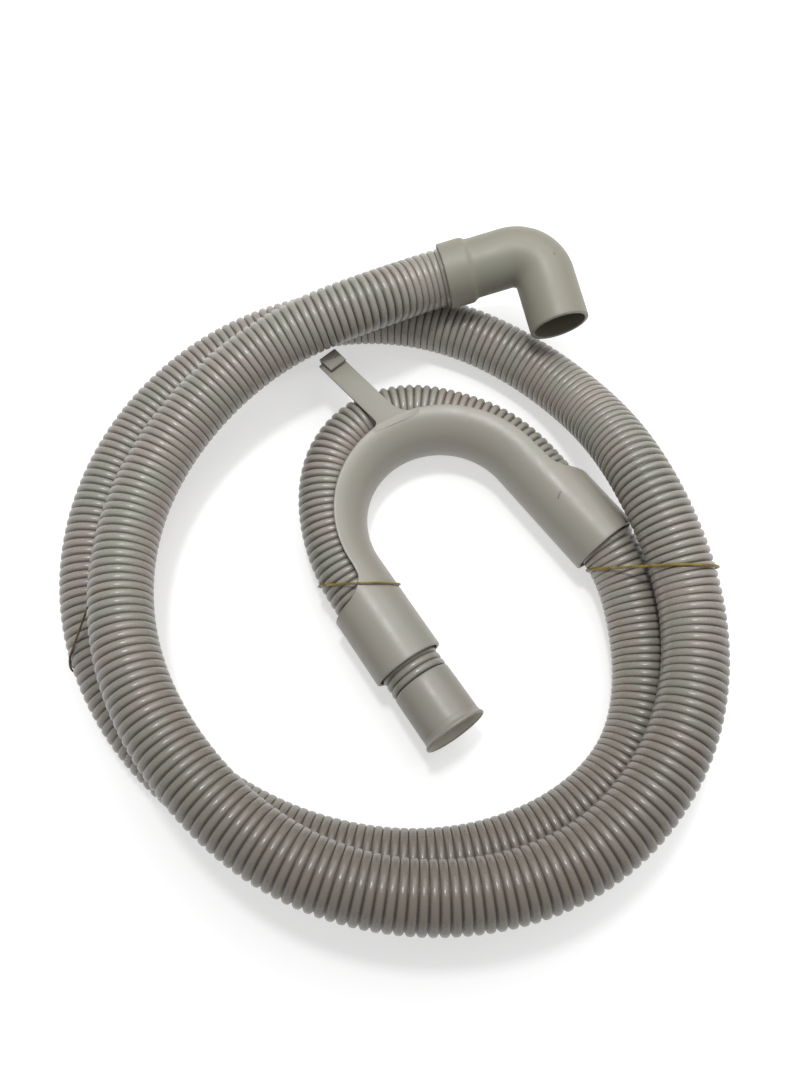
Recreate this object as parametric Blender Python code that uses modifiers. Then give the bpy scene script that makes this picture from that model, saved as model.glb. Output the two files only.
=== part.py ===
"""Washing machine drain hose, coiled for sale: corrugated tube, elbow, end cuff, hook guide and bands.

The hose lies in one and a half turns on the floor. It starts in the collar of a moulded elbow, passes
through the two sleeves of a U-shaped hook guide and ends at a smooth cuff. Three thin elastic bands
hold the coil and the guide. Metres, +Z up, floor under the coil.
"""
import math

import bmesh
import bpy
import numpy as np
from mathutils import Euler, Matrix, Vector

NAME = "washing_machine_drain_hose"

# Clearance between pieces that touch
CLEARANCE = 0.0003

# Corrugated hose, over its ridges
HOSE_OD = 0.032
COIL_STEP = 0.0285
HOOK_STEP = 0.0195

# Centre of the hose where it lies in the coil, chosen along its travel from the elbow: x, y, height
COIL_POINTS = (
    (-0.0020, 0.1485, 0.0515),
    (-0.0500, 0.1270, 0.0490),
    (-0.1015, 0.0820, 0.0425),
    (-0.1290, 0.0200, 0.0415),
    (-0.1240, -0.0480, 0.0460),
    (-0.0890, -0.1070, 0.0492),
    (-0.0345, -0.1480, 0.0492),
    (0.0325, -0.1605, 0.0475),
    (0.0980, -0.1415, 0.0468),
    (0.1425, -0.0905, 0.0460),
    (0.1545, -0.0235, 0.0435),
    (0.1365, 0.0410, 0.0455),
    (0.1100, 0.1015, 0.0220),
    (0.0575, 0.1445, 0.0165),
    (-0.0090, 0.1605, 0.0165),
    (-0.0750, 0.1450, 0.0165),
    (-0.1275, 0.1010, 0.0165),
    (-0.1550, 0.0385, 0.0168),
    (-0.1515, -0.0295, 0.0180),
    (-0.1180, -0.0890, 0.0166),
    (-0.0630, -0.1295, 0.0164),
    (0.0025, -0.1475, 0.0165),
    (0.0705, -0.1385, 0.0165),
    (0.1240, -0.0970, 0.0165),
    (0.1335, -0.0300, 0.0172),
)

# Elbow: a bent tube with a collar that the hose end seats in
ELBOW_OD = 0.033
ELBOW_WALL = 0.0022
ELBOW_BEND = 0.018
ELBOW_RUN = 0.0541
ELBOW_LEG = 0.0470
COLLAR_OD = 0.0366
COLLAR_LENGTH = 0.0135
COLLAR_TAPER = 0.0025
SEAT_DEPTH = 0.0108
ELBOW_CORNER = (0.0866, 0.1763, 0.0583)
ELBOW_YAW = math.radians(13.6)
ELBOW_PITCH = math.radians(8.6)
ELBOW_ROLL = math.radians(11.3)

# End cuff: a smooth cylinder with a raised lip at its mouth
CUFF_LENGTH = 0.0305
CUFF_WALL = 0.0020
CUFF_LIP_RISE = 0.0013
CUFF_LIP_WIDTH = 0.0022
CUFF_LIP_ROUND = 0.0006
CUFF_PITCH = math.radians(6.0)
CUFF_GAP_FROM_SLEEVE = 0.0108

# Bands: thin round elastic
BAND_DIAMETER = 0.0011
BAND_CLEARANCE = 0.0004
BAND_POINTS = 48
BAND_HOOK_REACH = 0.045
BAND_HOOK_SHIFT = 0.0040
BAND_RIGHT_REACH = 0.060
BAND_RIGHT_SHIFT = 0.0202

# Left band, chosen by hand: y of a strand's axis where the band crosses, and the angle about the axis,
# from 0 on the coil's outer side through 90 on top
BAND_LEFT_UPPER = (
    (-0.0235, 219.0),
    (-0.0240, 200.0),
    (-0.0245, 186.0),
    (-0.0260, 160.0),
    (-0.0280, 135.0),
    (-0.0300, 110.0),
    (-0.0315, 85.0),
    (-0.0325, 65.0),
    (-0.0330, 46.0),
)
BAND_LEFT_LOWER = (
    (-0.0450, 42.0),
    (-0.0475, 25.0),
    (-0.0490, 5.0),
    (-0.0495, -20.0),
    (-0.0490, -45.0),
    (-0.0470, -70.0),
    (-0.0440, -92.0),
    (-0.0405, -115.0),
    (-0.0370, -138.0),
)

# Hook guide: two closed sleeves joined by a bend that is open on its outer side
GUIDE_WALL = 0.0018
GUIDE_SLACK = 0.0014
BEND_CENTRE = (0.0325, 0.0269)
BEND_RADIUS = 0.060
BEND_TURN = math.radians(176.0)
GUIDE_YAW = math.radians(128.2)
RIGHT_SLEEVE = 0.0663
LEFT_SLEEVE = 0.0562
WINDOW_OFFSET_RIGHT = 0.0025
WINDOW_OFFSET_LEFT = -0.0035
WINDOW_RUN_RIGHT = 0.0150
WINDOW_FLARE_RIGHT = 0.0170
WINDOW_RUN_LEFT = 0.0100
WINDOW_FLARE_LEFT = 0.0065

# How far the hose springs out of the open bend, and where
BULGE = 0.012
BULGE_ANGLE = math.radians(130.0)
BULGE_SPREAD = math.radians(66.0)

# Flat arm of the guide, with an end folded back over it as a clip
ARM_WIDTH = 0.0135
ARM_THICKNESS = 0.0016
ARM_LENGTH = 0.0550
ARM_ANGLE = math.radians(119.0)
ARM_SKEW = math.radians(12.0)
ARM_DROP = math.radians(6.5)
ARM_EMBED = 0.0020
ARM_FILLET_LEFT = 0.0050
ARM_FILLET_RIGHT = 0.0100
CLIP_LIP = 0.0012
CLIP_GAP = 0.0018
CLIP_LENGTH = 0.0090
CLIP_WIDTH = 0.0112

# Sizes that follow from the ones above
HOSE_RADIUS = HOSE_OD / 2.0
ELBOW_RADIUS = ELBOW_OD / 2.0
ELBOW_BORE = ELBOW_RADIUS - ELBOW_WALL
COLLAR_RADIUS = COLLAR_OD / 2.0
SEAT_RADIUS = HOSE_RADIUS + CLEARANCE
CUFF_RADIUS = HOSE_RADIUS
CUFF_LIP_RADIUS = CUFF_RADIUS + CUFF_LIP_RISE
CUFF_BORE = CUFF_RADIUS - CUFF_WALL
BAND_RADIUS = BAND_DIAMETER / 2.0
GUIDE_BORE = HOSE_RADIUS + GUIDE_SLACK
GUIDE_RADIUS = GUIDE_BORE + GUIDE_WALL
GUIDE_HEIGHT = GUIDE_RADIUS + BAND_DIAMETER + BAND_CLEARANCE + CLEARANCE
GUIDED_HOSE_HEIGHT = GUIDE_HEIGHT - GUIDE_SLACK + 3.0 * CLEARANCE
ARM_TOP = GUIDE_HEIGHT + GUIDE_RADIUS - 2.0 * CLEARANCE

MODEL = None
CUTTERS = None


def reset_scene():
    """Removes every object and makes the two collections."""
    for item in list(bpy.data.objects):
        bpy.data.objects.remove(item, do_unlink=True)
    global MODEL, CUTTERS
    MODEL = bpy.data.collections.new(NAME)
    CUTTERS = bpy.data.collections.new(NAME + "_cutters")
    for group in (MODEL, CUTTERS):
        bpy.context.scene.collection.children.link(group)


def plastic(name, colour, roughness):
    """Returns a Principled material with the piece's own colour and roughness."""
    material = bpy.data.materials.new(name)
    material.use_nodes = True
    shader = material.node_tree.nodes["Principled BSDF"]
    shader.inputs["Base Color"].default_value = (*colour, 1.0)
    shader.inputs["Roughness"].default_value = roughness
    shader.inputs["Metallic"].default_value = 0.0
    return material


def smooth_route(points, steps):
    """Natural cubic spline by chord length through the points, read at the given spacings.

    steps gives (end, spacing) pairs: the spacing used up to the control point with that index.
    """
    knots = np.array(points, dtype=float)
    chord = np.concatenate([[0.0], np.cumsum(np.linalg.norm(np.diff(knots, axis=0), axis=1))])
    span = np.diff(chord)
    count = len(knots)
    matrix = np.eye(count)
    rhs = np.zeros_like(knots)
    for i in range(1, count - 1):
        matrix[i, i - 1:i + 2] = (span[i - 1], 2.0 * (span[i - 1] + span[i]), span[i])
        rhs[i] = 6.0 * ((knots[i + 1] - knots[i]) / span[i] - (knots[i] - knots[i - 1]) / span[i - 1])
    curve = np.linalg.solve(matrix, rhs)
    stations = [np.zeros(1)]
    begin = 0.0
    for end, spacing in steps:
        finish = chord[end]
        pieces = max(1, round((finish - begin) / spacing))
        stations.append(np.linspace(begin, finish, pieces + 1)[1:])
        begin = finish
    at = np.concatenate(stations)
    k = np.clip(np.searchsorted(chord, at, side="right") - 1, 0, count - 2)
    width = span[k][:, None]
    before = (chord[k + 1] - at)[:, None]
    after = (at - chord[k])[:, None]
    route = (curve[k] * before**3 + curve[k + 1] * after**3) / (6.0 * width)
    route += (knots[k] / width - curve[k] * width / 6.0) * before
    route += (knots[k + 1] / width - curve[k + 1] * width / 6.0) * after
    return route


def tube_curve(name, points, radius, resolution, group, cyclic=False):
    """Curve object with a round bevel and filled caps on a POLY spline through the points."""
    data = bpy.data.curves.new(name, "CURVE")
    data.dimensions = "3D"
    data.bevel_depth = radius
    data.bevel_resolution = resolution
    data.use_fill_caps = not cyclic
    spline = data.splines.new("POLY")
    spline.points.add(len(points) - 1)
    for knot, point in zip(spline.points, points):
        knot.co = (*point, 1.0)
    spline.use_cyclic_u = cyclic
    spline.use_smooth = True
    item = bpy.data.objects.new(name, data)
    group.objects.link(item)
    return item


def plate_curve(name, outline, thickness, group):
    """Flat outline in the XY plane, filled on both sides and extruded to the thickness."""
    data = bpy.data.curves.new(name, "CURVE")
    data.dimensions = "2D"
    data.fill_mode = "BOTH"
    data.extrude = thickness / 2.0
    spline = data.splines.new("POLY")
    spline.points.add(len(outline) - 1)
    for knot, point in zip(spline.points, outline):
        knot.co = (point[0], point[1], 0.0, 1.0)
    spline.use_cyclic_u = True
    item = bpy.data.objects.new(name, data)
    group.objects.link(item)
    return item


def meshed(item, smooth=True):
    """Replaces a curve or a modified object by the mesh that it evaluates to, with welded caps."""
    bpy.context.view_layer.update()
    graph = bpy.context.evaluated_depsgraph_get()
    mesh = bpy.data.meshes.new_from_object(item.evaluated_get(graph), depsgraph=graph)
    work = bmesh.new()
    work.from_mesh(mesh)
    bmesh.ops.remove_doubles(work, verts=work.verts, dist=0.000002)
    bmesh.ops.recalc_face_normals(work, faces=work.faces)
    work.to_mesh(mesh)
    work.free()
    name = item.name
    groups = list(item.users_collection)
    result = bpy.data.objects.new(name + "_mesh", mesh)
    result.matrix_world = item.matrix_world.copy()
    for group in groups:
        group.objects.link(result)
    bpy.data.objects.remove(item, do_unlink=True)
    result.name = name
    if smooth:
        mesh.shade_smooth()
        mesh.set_sharp_from_angle(angle=math.radians(35.0))
    return result


def hide_cutter(item):
    """Leaves a cutter out of the model: drawn as wire, never rendered."""
    item.hide_render = True
    item.display_type = "WIRE"


def combine(target, other, operation):
    """Adds a Boolean by the exact solver, and hides the other piece when it is a cutter."""
    modifier = target.modifiers.new(operation.title() + " " + other.name, "BOOLEAN")
    modifier.operation = operation
    modifier.solver = "EXACT"
    modifier.object = other
    hide_cutter(other)


def turned(name, profile, sides, group):
    """Closed profile of (radius, height) pairs turned about Z, its outer side running downwards."""
    mesh = bpy.data.meshes.new(name)
    count = len(profile)
    mesh.from_pydata([(r, 0.0, z) for r, z in profile], [(i, (i + 1) % count) for i in range(count)], [])
    item = bpy.data.objects.new(name, mesh)
    group.objects.link(item)
    screw = item.modifiers.new("Turn", "SCREW")
    screw.axis = "Z"
    screw.angle = math.tau
    screw.steps = sides
    screw.render_steps = sides
    screw.use_merge_vertices = True
    screw.merge_threshold = 0.00001
    screw.use_smooth_shade = True
    return item


def round_cutter(name, radius, start, end, sides):
    """Cylinder between two points, as a cutter."""
    axis = Vector(end) - Vector(start)
    bpy.ops.mesh.primitive_cylinder_add(vertices=sides, radius=radius, depth=axis.length)
    item = bpy.context.object
    item.name = name
    turn = axis.to_track_quat("Z", "Y").to_matrix().to_4x4()
    item.matrix_world = Matrix.Translation((Vector(start) + Vector(end)) / 2.0) @ turn
    for group in list(item.users_collection):
        group.objects.unlink(item)
    CUTTERS.objects.link(item)
    return item


def elbow_frame():
    """Placement of the elbow: its corner, with the collar's axis along local X and the leg down local Y."""
    turn = Matrix.Rotation(ELBOW_YAW, 4, "Z") @ Matrix.Rotation(-ELBOW_PITCH, 4, "Y")
    return Matrix.Translation(ELBOW_CORNER) @ turn @ Matrix.Rotation(ELBOW_ROLL, 4, "X")


def elbow_axis(overrun_start, overrun_end):
    """Centre line of the elbow: straight run, quarter bend and leg, in its own frame."""
    angles = np.linspace(math.pi / 2.0, 0.0, 13)
    bend = np.column_stack([
        ELBOW_BEND * (np.cos(angles) - 1.0),
        ELBOW_BEND * (np.sin(angles) - 1.0),
        np.zeros_like(angles),
    ])
    first = (-ELBOW_RUN - overrun_start, 0.0, 0.0)
    last = (0.0, -ELBOW_LEG - overrun_end, 0.0)
    return np.vstack([first, bend, last])


def guide_directions():
    """Unit vectors along the right leg towards the bend, and along the left leg away from it."""
    right = np.array([math.cos(GUIDE_YAW), math.sin(GUIDE_YAW)])
    left = np.array([math.cos(GUIDE_YAW + BEND_TURN), math.sin(GUIDE_YAW + BEND_TURN)])
    return right, left


def bend_point(angle, radius):
    """Point of the hook's plan at an angle about the bend centre."""
    return np.array(BEND_CENTRE) + radius * np.array([math.cos(angle), math.sin(angle)])


def bend_limits():
    """Angles about the bend centre at which the bend starts and ends."""
    start = GUIDE_YAW - math.pi / 2.0
    return start, start + BEND_TURN


def guide_axis(overrun):
    """Centre line of the guide: right leg, bend and left leg, both legs lengthened by the overrun."""
    start, end = bend_limits()
    right, left = guide_directions()
    bend = [bend_point(angle, BEND_RADIUS) for angle in np.linspace(start, end, 23)]
    first = bend[0] - right * (RIGHT_SLEEVE + overrun)
    last = bend[-1] + left * (LEFT_SLEEVE + overrun)
    plan = np.vstack([first, *bend, last])
    return np.column_stack([plan, np.full(len(plan), GUIDE_HEIGHT)])


def hooked_hose_points():
    """Points of the hose inside the guide: on the sleeves' axes, and sprung outwards in the bend."""
    start, end = bend_limits()
    right, left = guide_directions()
    head = bend_point(start, BEND_RADIUS)
    plan = [head - right * RIGHT_SLEEVE, head - right * RIGHT_SLEEVE / 2.0]
    for angle in np.linspace(start, end, 9):
        reach = min(1.0, abs(angle - BULGE_ANGLE) / BULGE_SPREAD)
        plan.append(bend_point(angle, BEND_RADIUS + BULGE * math.cos(math.pi / 2.0 * reach) ** 2))
    foot = bend_point(end, BEND_RADIUS)
    plan.append(foot + left * LEFT_SLEEVE / 2.0)
    return [(point[0], point[1], GUIDED_HOSE_HEIGHT) for point in plan]


def cuff_direction():
    """Unit vector along the cuff towards its mouth, rising a little out of the guide's sleeve."""
    left = guide_directions()[1]
    return np.array([left[0] * math.cos(CUFF_PITCH), left[1] * math.cos(CUFF_PITCH), math.sin(CUFF_PITCH)])


def hose_end():
    """Centre of the hose's end face, just before the cuff."""
    left = guide_directions()[1]
    foot = bend_point(bend_limits()[1], BEND_RADIUS) + left * (LEFT_SLEEVE + CUFF_GAP_FROM_SLEEVE)
    return np.array([foot[0], foot[1], GUIDED_HOSE_HEIGHT + CUFF_GAP_FROM_SLEEVE * math.sin(CUFF_PITCH)])


def hose_route():
    """Centre line of the whole hose, from its seat in the elbow's collar to the cuff."""
    frame = elbow_frame()
    seated = frame @ Vector((-ELBOW_RUN + SEAT_DEPTH - CLEARANCE, 0.0, 0.0))
    leaving = frame @ Vector((-ELBOW_RUN - HOSE_RADIUS / 2.0, 0.0, 0.0))
    finish = hose_end()
    neck = finish - cuff_direction() * HOSE_RADIUS / 2.0
    points = [tuple(seated), tuple(leaving), *COIL_POINTS, *hooked_hose_points(), tuple(neck), tuple(finish)]
    last = len(points) - 1
    steps = ((1, COIL_STEP), (1 + len(COIL_POINTS), COIL_STEP), (last - 1, HOOK_STEP), (last, HOOK_STEP))
    return smooth_route(points, steps)


def make_hose(material):
    """Corrugated hose as a plain tube over its ridges."""
    hose = meshed(tube_curve("hose", hose_route(), HOSE_RADIUS, 4, MODEL))
    hose.data.materials.append(material)
    return hose


def make_elbow(material):
    """Elbow: bent tube joined to its collar, bored through, with the hose's seat cut in the collar."""
    elbow = meshed(tube_curve("elbow", elbow_axis(0.0, 0.0), ELBOW_RADIUS, 10, MODEL))
    elbow.data.materials.append(material)
    profile = (
        (0.0, COLLAR_LENGTH + COLLAR_TAPER),
        (ELBOW_RADIUS, COLLAR_LENGTH + COLLAR_TAPER),
        (COLLAR_RADIUS, COLLAR_LENGTH),
        (COLLAR_RADIUS, COLLAR_TAPER / 4.0),
        (COLLAR_RADIUS - COLLAR_TAPER / 4.0, 0.0),
        (0.0, 0.0),
    )
    collar = turned("collar_form", profile, 28, CUTTERS)
    along = Euler((0.0, math.pi / 2.0, 0.0)).to_matrix().to_4x4()
    collar.matrix_world = Matrix.Translation((-ELBOW_RUN, 0.0, 0.0)) @ along
    collar = meshed(collar)
    bore = meshed(tube_curve("elbow_bore", elbow_axis(-SEAT_DEPTH / 2.0, 0.01), ELBOW_BORE, 9, CUTTERS))
    beyond = (-ELBOW_RUN - 0.01, 0.0, 0.0)
    seat = round_cutter("elbow_seat", SEAT_RADIUS, beyond, (-ELBOW_RUN + SEAT_DEPTH, 0.0, 0.0), 34)
    combine(elbow, collar, "UNION")
    combine(elbow, bore, "DIFFERENCE")
    combine(elbow, seat, "DIFFERENCE")
    holder = bpy.data.objects.new("elbow_frame", None)
    CUTTERS.objects.link(holder)
    holder.matrix_world = elbow_frame()
    for item in (elbow, collar, bore, seat):
        item.parent = holder
    return elbow, holder


def make_cuff(material):
    """End cuff: turned wall with a rounded lip at the mouth, lying along the end of the hose."""
    top = CUFF_LENGTH
    lip = CUFF_LIP_ROUND
    profile = (
        (CUFF_BORE + lip, top),
        (CUFF_LIP_RADIUS - lip, top),
        (CUFF_LIP_RADIUS - lip * 0.3, top - lip * 0.3),
        (CUFF_LIP_RADIUS, top - lip),
        (CUFF_LIP_RADIUS, top - CUFF_LIP_WIDTH + lip),
        (CUFF_LIP_RADIUS - lip * 0.3, top - CUFF_LIP_WIDTH + lip * 0.3),
        (CUFF_RADIUS, top - CUFF_LIP_WIDTH - lip),
        (CUFF_RADIUS, lip),
        (CUFF_RADIUS - lip, 0.0),
        (CUFF_BORE, 0.0),
        (CUFF_BORE, top - lip),
    )
    cuff = turned("end_cuff", profile, 40, MODEL)
    cuff.data.materials.append(material)
    direction = Vector(cuff_direction())
    seat = Vector(hose_end()) + direction * CLEARANCE
    cuff.matrix_world = Matrix.Translation(seat) @ direction.to_track_quat("Z", "Y").to_matrix().to_4x4()
    return cuff


def window_corner_right():
    """Flared edge of the opening on the right leg, as (along the leg, across it) pairs from the bend out."""
    run, flare, offset = WINDOW_RUN_RIGHT, WINDOW_FLARE_RIGHT, WINDOW_OFFSET_RIGHT
    return [
        (run, offset + GUIDE_WALL / 2.0),
        (run + flare * 0.16, offset + GUIDE_RADIUS * 0.10),
        (run + flare * 0.42, GUIDE_RADIUS * 0.40),
        (run + flare * 0.82, GUIDE_RADIUS * 0.85),
        (run + flare, GUIDE_RADIUS + 2.0 * GUIDE_WALL),
    ]


def window_corner_left():
    """Rounded edge of the opening on the left leg, as (along the leg, across it) pairs from the bend out."""
    run, flare, offset = WINDOW_RUN_LEFT, WINDOW_FLARE_LEFT, WINDOW_OFFSET_LEFT
    return [
        (run * 0.60, offset + GUIDE_WALL / 2.0),
        (run, offset + GUIDE_WALL * 2.0),
        (run + flare * 0.55, GUIDE_RADIUS * 0.25),
        (run + flare * 0.90, GUIDE_RADIUS * 0.60),
        (run + flare, GUIDE_RADIUS + 2.0 * GUIDE_WALL),
    ]


def window_outline():
    """Plan of the opening along the outer side of the guide: its inner edge follows the bend."""
    start, end = bend_limits()
    right, left = guide_directions()
    out_right = np.array([right[1], -right[0]])
    out_left = np.array([left[1], -left[0]])
    head = bend_point(start, BEND_RADIUS)
    foot = bend_point(end, BEND_RADIUS)

    def on_right(along, across):
        return head - right * along + out_right * across

    def on_left(along, across):
        return foot + left * along + out_left * across

    outline = [on_right(along, across) for along, across in reversed(window_corner_right())]
    for angle in np.linspace(start + 0.011, end - 0.013, 32):
        drift = (angle - start) / (end - start)
        offset = WINDOW_OFFSET_RIGHT + (WINDOW_OFFSET_LEFT - WINDOW_OFFSET_RIGHT) * drift
        outline.append(bend_point(angle, BEND_RADIUS + offset))
    outline += [on_left(along, across) for along, across in window_corner_left()]
    far = BEND_RADIUS + GUIDE_RADIUS + 0.012
    for angle in np.linspace(end, start, 13):
        outline.append(bend_point(angle, far))
    return outline


def arm_frame():
    """Placement of the arm: at the edge of the opening, its length along local X, sloping down."""
    root = bend_point(ARM_ANGLE, BEND_RADIUS)
    turn = Matrix.Rotation(ARM_ANGLE + ARM_SKEW, 4, "Z") @ Matrix.Rotation(ARM_DROP, 4, "Y")
    return Matrix.Translation((root[0], root[1], ARM_TOP)) @ turn


def arm_outline():
    """Plan of the arm in its own frame, widened by a fillet on each side where it meets the bend."""
    centre = np.array([-BEND_RADIUS * math.cos(ARM_SKEW), BEND_RADIUS * math.sin(ARM_SKEW)])
    half = ARM_WIDTH / 2.0

    def side(across, fillet, sign):
        edge = BEND_RADIUS + WINDOW_OFFSET_LEFT / 4.0
        rim = centre[0] + math.sqrt(edge**2 - (across - centre[1]) ** 2)
        corner = np.array([rim, across])
        turn = math.atan2(across - centre[1], rim - centre[0]) + sign * fillet / edge
        foot = centre + edge * np.array([math.cos(turn), math.sin(turn)])
        base = centre + (edge - ARM_EMBED) * np.array([math.cos(turn), math.sin(turn)])
        along = np.array([rim + fillet, across])
        blend = [(1 - t) ** 2 * foot + 2 * t * (1 - t) * corner + t**2 * along for t in np.linspace(0.0, 1.0, 7)]
        return [base, *blend]

    tip = ARM_LENGTH
    left = side(half, ARM_FILLET_LEFT, 1.0)
    right = side(-half, ARM_FILLET_RIGHT, -1.0)
    inner = [centre + (BEND_RADIUS - ARM_EMBED) * np.array([math.cos(a), math.sin(a)])
             for a in np.linspace(-0.06, 0.06, 5) - ARM_SKEW]
    return [*inner, *left, np.array([tip, half]), np.array([tip, -half]), *reversed(right)]


def clip_profile():
    """Side view of the clip: the end turned up and folded back over the arm, as (along, up) pairs."""
    inner = CLIP_GAP / 2.0
    outer = inner + CLIP_LIP
    middle = inner - CLIP_LIP * 0.1
    centre = ARM_LENGTH - CLIP_LIP
    angles = np.linspace(math.pi / 2.0, -math.pi / 2.0, 9)
    free = centre - CLIP_LENGTH
    points = [(free, middle + outer)]
    points += [(centre + outer * math.cos(a), middle + outer * math.sin(a)) for a in angles]
    points += [(centre - CLIP_LIP * 2.0, -CLIP_LIP)]
    points += [(centre + inner * math.cos(a), middle + inner * math.sin(a)) for a in reversed(angles)]
    points += [(free, middle + inner)]
    return points


def make_guide(material):
    """Hook guide: bored tube along the hook, opened on its outer side, with the arm and its clip."""
    guide = meshed(tube_curve("hook_guide", guide_axis(0.0), GUIDE_RADIUS, 12, MODEL))
    guide.data.materials.append(material)
    bore = meshed(tube_curve("guide_bore", guide_axis(0.01), GUIDE_BORE, 11, CUTTERS))
    window = plate_curve("guide_window", window_outline(), GUIDE_RADIUS * 3.0, CUTTERS)
    window.matrix_world = Matrix.Translation((0.0, 0.0, GUIDE_HEIGHT))
    window = meshed(window, smooth=False)
    arm = plate_curve("arm_form", arm_outline(), ARM_THICKNESS, CUTTERS)
    arm.matrix_world = arm_frame() @ Matrix.Translation((0.0, 0.0, -ARM_THICKNESS / 2.0))
    arm = meshed(arm, smooth=False)
    clip = plate_curve("clip_form", clip_profile(), CLIP_WIDTH, CUTTERS)
    across = -ARM_WIDTH / 2.0 + CLIP_WIDTH / 2.0 + CLEARANCE
    upright = Matrix.Translation((0.0, across, 0.0)) @ Matrix.Rotation(math.pi / 2.0, 4, "X")
    clip.matrix_world = arm_frame() @ upright
    clip = meshed(clip, smooth=False)
    combine(guide, window, "DIFFERENCE")
    combine(guide, bore, "DIFFERENCE")
    combine(guide, arm, "UNION")
    combine(guide, clip, "UNION")
    return guide


def ring_points(route, radius, sides=48):
    """Points on the surface of a round piece along a route, ring by ring."""
    step = np.gradient(route, axis=0)
    step /= np.linalg.norm(step, axis=1)[:, None]
    flat = np.cross(step, (0.0, 0.0, 1.0))
    flat /= np.linalg.norm(flat, axis=1)[:, None]
    upward = np.cross(flat, step)
    angle = np.linspace(0.0, math.tau, sides, endpoint=False)
    ring = flat[:, None] * np.cos(angle)[:, None] + upward[:, None] * np.sin(angle)[:, None]
    return (route[:, None] + radius * ring).reshape(-1, 3)


def close_route(route, spacing=0.0004):
    """The same line read at a close spacing."""
    length = np.concatenate([[0.0], np.cumsum(np.linalg.norm(np.diff(route, axis=0), axis=1))])
    at = np.arange(0.0, length[-1], spacing)
    return np.column_stack([np.interp(at, length, route[:, k]) for k in range(3)])


def evenly_spaced(loop):
    """The closed line through the points, read at equal spacings."""
    ring = np.vstack([loop, loop[:1]])
    length = np.concatenate([[0.0], np.cumsum(np.linalg.norm(np.diff(ring, axis=0), axis=1))])
    at = np.linspace(0.0, length[-1], BAND_POINTS, endpoint=False)
    return np.column_stack([np.interp(at, length, ring[:, k]) for k in range(3)])


def left_strand(route, upper):
    """The upper or the lower strand on the coil's left side, in rising order of y."""
    high = route[:, 2] > HOSE_OD
    rows = route[(route[:, 0] < -2.0 * HOSE_OD) & (high if upper else ~high)]
    return rows[np.argsort(rows[:, 1])]


def wrapped_line(strand, rows):
    """Line of a band over part of a strand's surface, moved out by the clearance.

    Each row gives the y of the strand's axis and the angle about it. The line runs straight between rows
    in both.
    """
    chosen = np.array(rows)
    part = np.linspace(0.0, len(rows) - 1.0, 6 * len(rows))
    y, degrees = (np.interp(part, np.arange(len(rows)), chosen[:, k]) for k in range(2))

    def axis_at(place):
        return np.column_stack([np.interp(place, strand[:, 1], strand[:, k]) for k in range(3)])

    travel = axis_at(y - HOSE_RADIUS / 8.0) - axis_at(y + HOSE_RADIUS / 8.0)
    travel /= np.linalg.norm(travel, axis=1)[:, None]
    outward = np.cross(travel, (0.0, 0.0, 1.0))
    outward /= np.linalg.norm(outward, axis=1)[:, None]
    upward = np.cross(outward, travel)
    turn = np.radians(degrees)[:, None]
    radius = HOSE_RADIUS + BAND_RADIUS + BAND_CLEARANCE
    return axis_at(y) + radius * (outward * np.cos(turn) + upward * np.sin(turn))


def band_line(centre, yaw, lean, reach, surfaces):
    """Closed line of a band pulled tight round the pieces that its plane cuts.

    The plane passes through the centre. It holds a level line at the yaw, and leans by the lean.
    Each direction in the plane takes the outermost point of the cut, moved out by the clearance.
    """
    level = np.array([math.cos(yaw), math.sin(yaw), 0.0])
    away = np.array([math.sin(yaw), -math.cos(yaw), 0.0])
    rise = away * math.sin(lean) + np.array([0.0, 0.0, math.cos(lean)])
    normal = np.cross(level, rise)
    cut = []
    for points in surfaces:
        offset = points - np.array(centre)
        near = (np.abs(offset @ normal) < BAND_RADIUS) & (np.abs(offset @ level) < reach)
        cut.append(np.column_stack([offset[near] @ level, offset[near] @ rise]))
    cut = np.vstack(cut)
    angle = np.linspace(0.0, math.tau, 181)[:-1]
    heading = np.column_stack([np.cos(angle), np.sin(angle)])
    outer = cut[np.argmax(cut @ heading.T, axis=0)] + heading * (BAND_RADIUS + BAND_CLEARANCE)
    return evenly_spaced(np.array(centre) + outer[:, :1] * level + outer[:, 1:] * rise)


def make_bands(material):
    """Three elastic bands, each pulled round the pieces that it holds."""
    route = close_route(hose_route())
    hose = ring_points(route, HOSE_RADIUS)
    guide = ring_points(close_route(guide_axis(0.0)), GUIDE_RADIUS)
    start, end = bend_limits()
    left = guide_directions()[1]
    outward = np.array([left[1], -left[0]])
    foot = bend_point(end, BEND_RADIUS)
    corner = np.array([(0.0, WINDOW_OFFSET_LEFT), *window_corner_left()])
    edge = np.interp((guide[:, :2] - foot) @ left, corner[:, 0], corner[:, 1])
    kept = guide[(guide[:, :2] - foot) @ outward < edge + GUIDE_WALL / 2.0]
    tied = (foot[0], foot[1] - BAND_HOOK_SHIFT, GUIDE_HEIGHT)
    beside = (np.array(COIL_POINTS[10]) + np.array(COIL_POINTS[24])) / 2.0 + (0.0, BAND_RIGHT_SHIFT, 0.0)
    upper = wrapped_line(left_strand(route, True), BAND_LEFT_UPPER)
    lower = wrapped_line(left_strand(route, False), BAND_LEFT_LOWER)
    lines = (
        ("band_hook", band_line(tied, math.radians(1.5), math.radians(13.0), BAND_HOOK_REACH, (hose, kept))),
        ("band_right", band_line(beside, 0.0, math.radians(11.0), BAND_RIGHT_REACH, (hose,))),
        ("band_left", evenly_spaced(np.vstack([upper, lower]))),
    )
    bands = []
    for name, line in lines:
        band = meshed(tube_curve(name, line, BAND_RADIUS, 1, MODEL, cyclic=True))
        band.data.materials.append(material)
        bands.append(band)
    return bands


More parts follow.
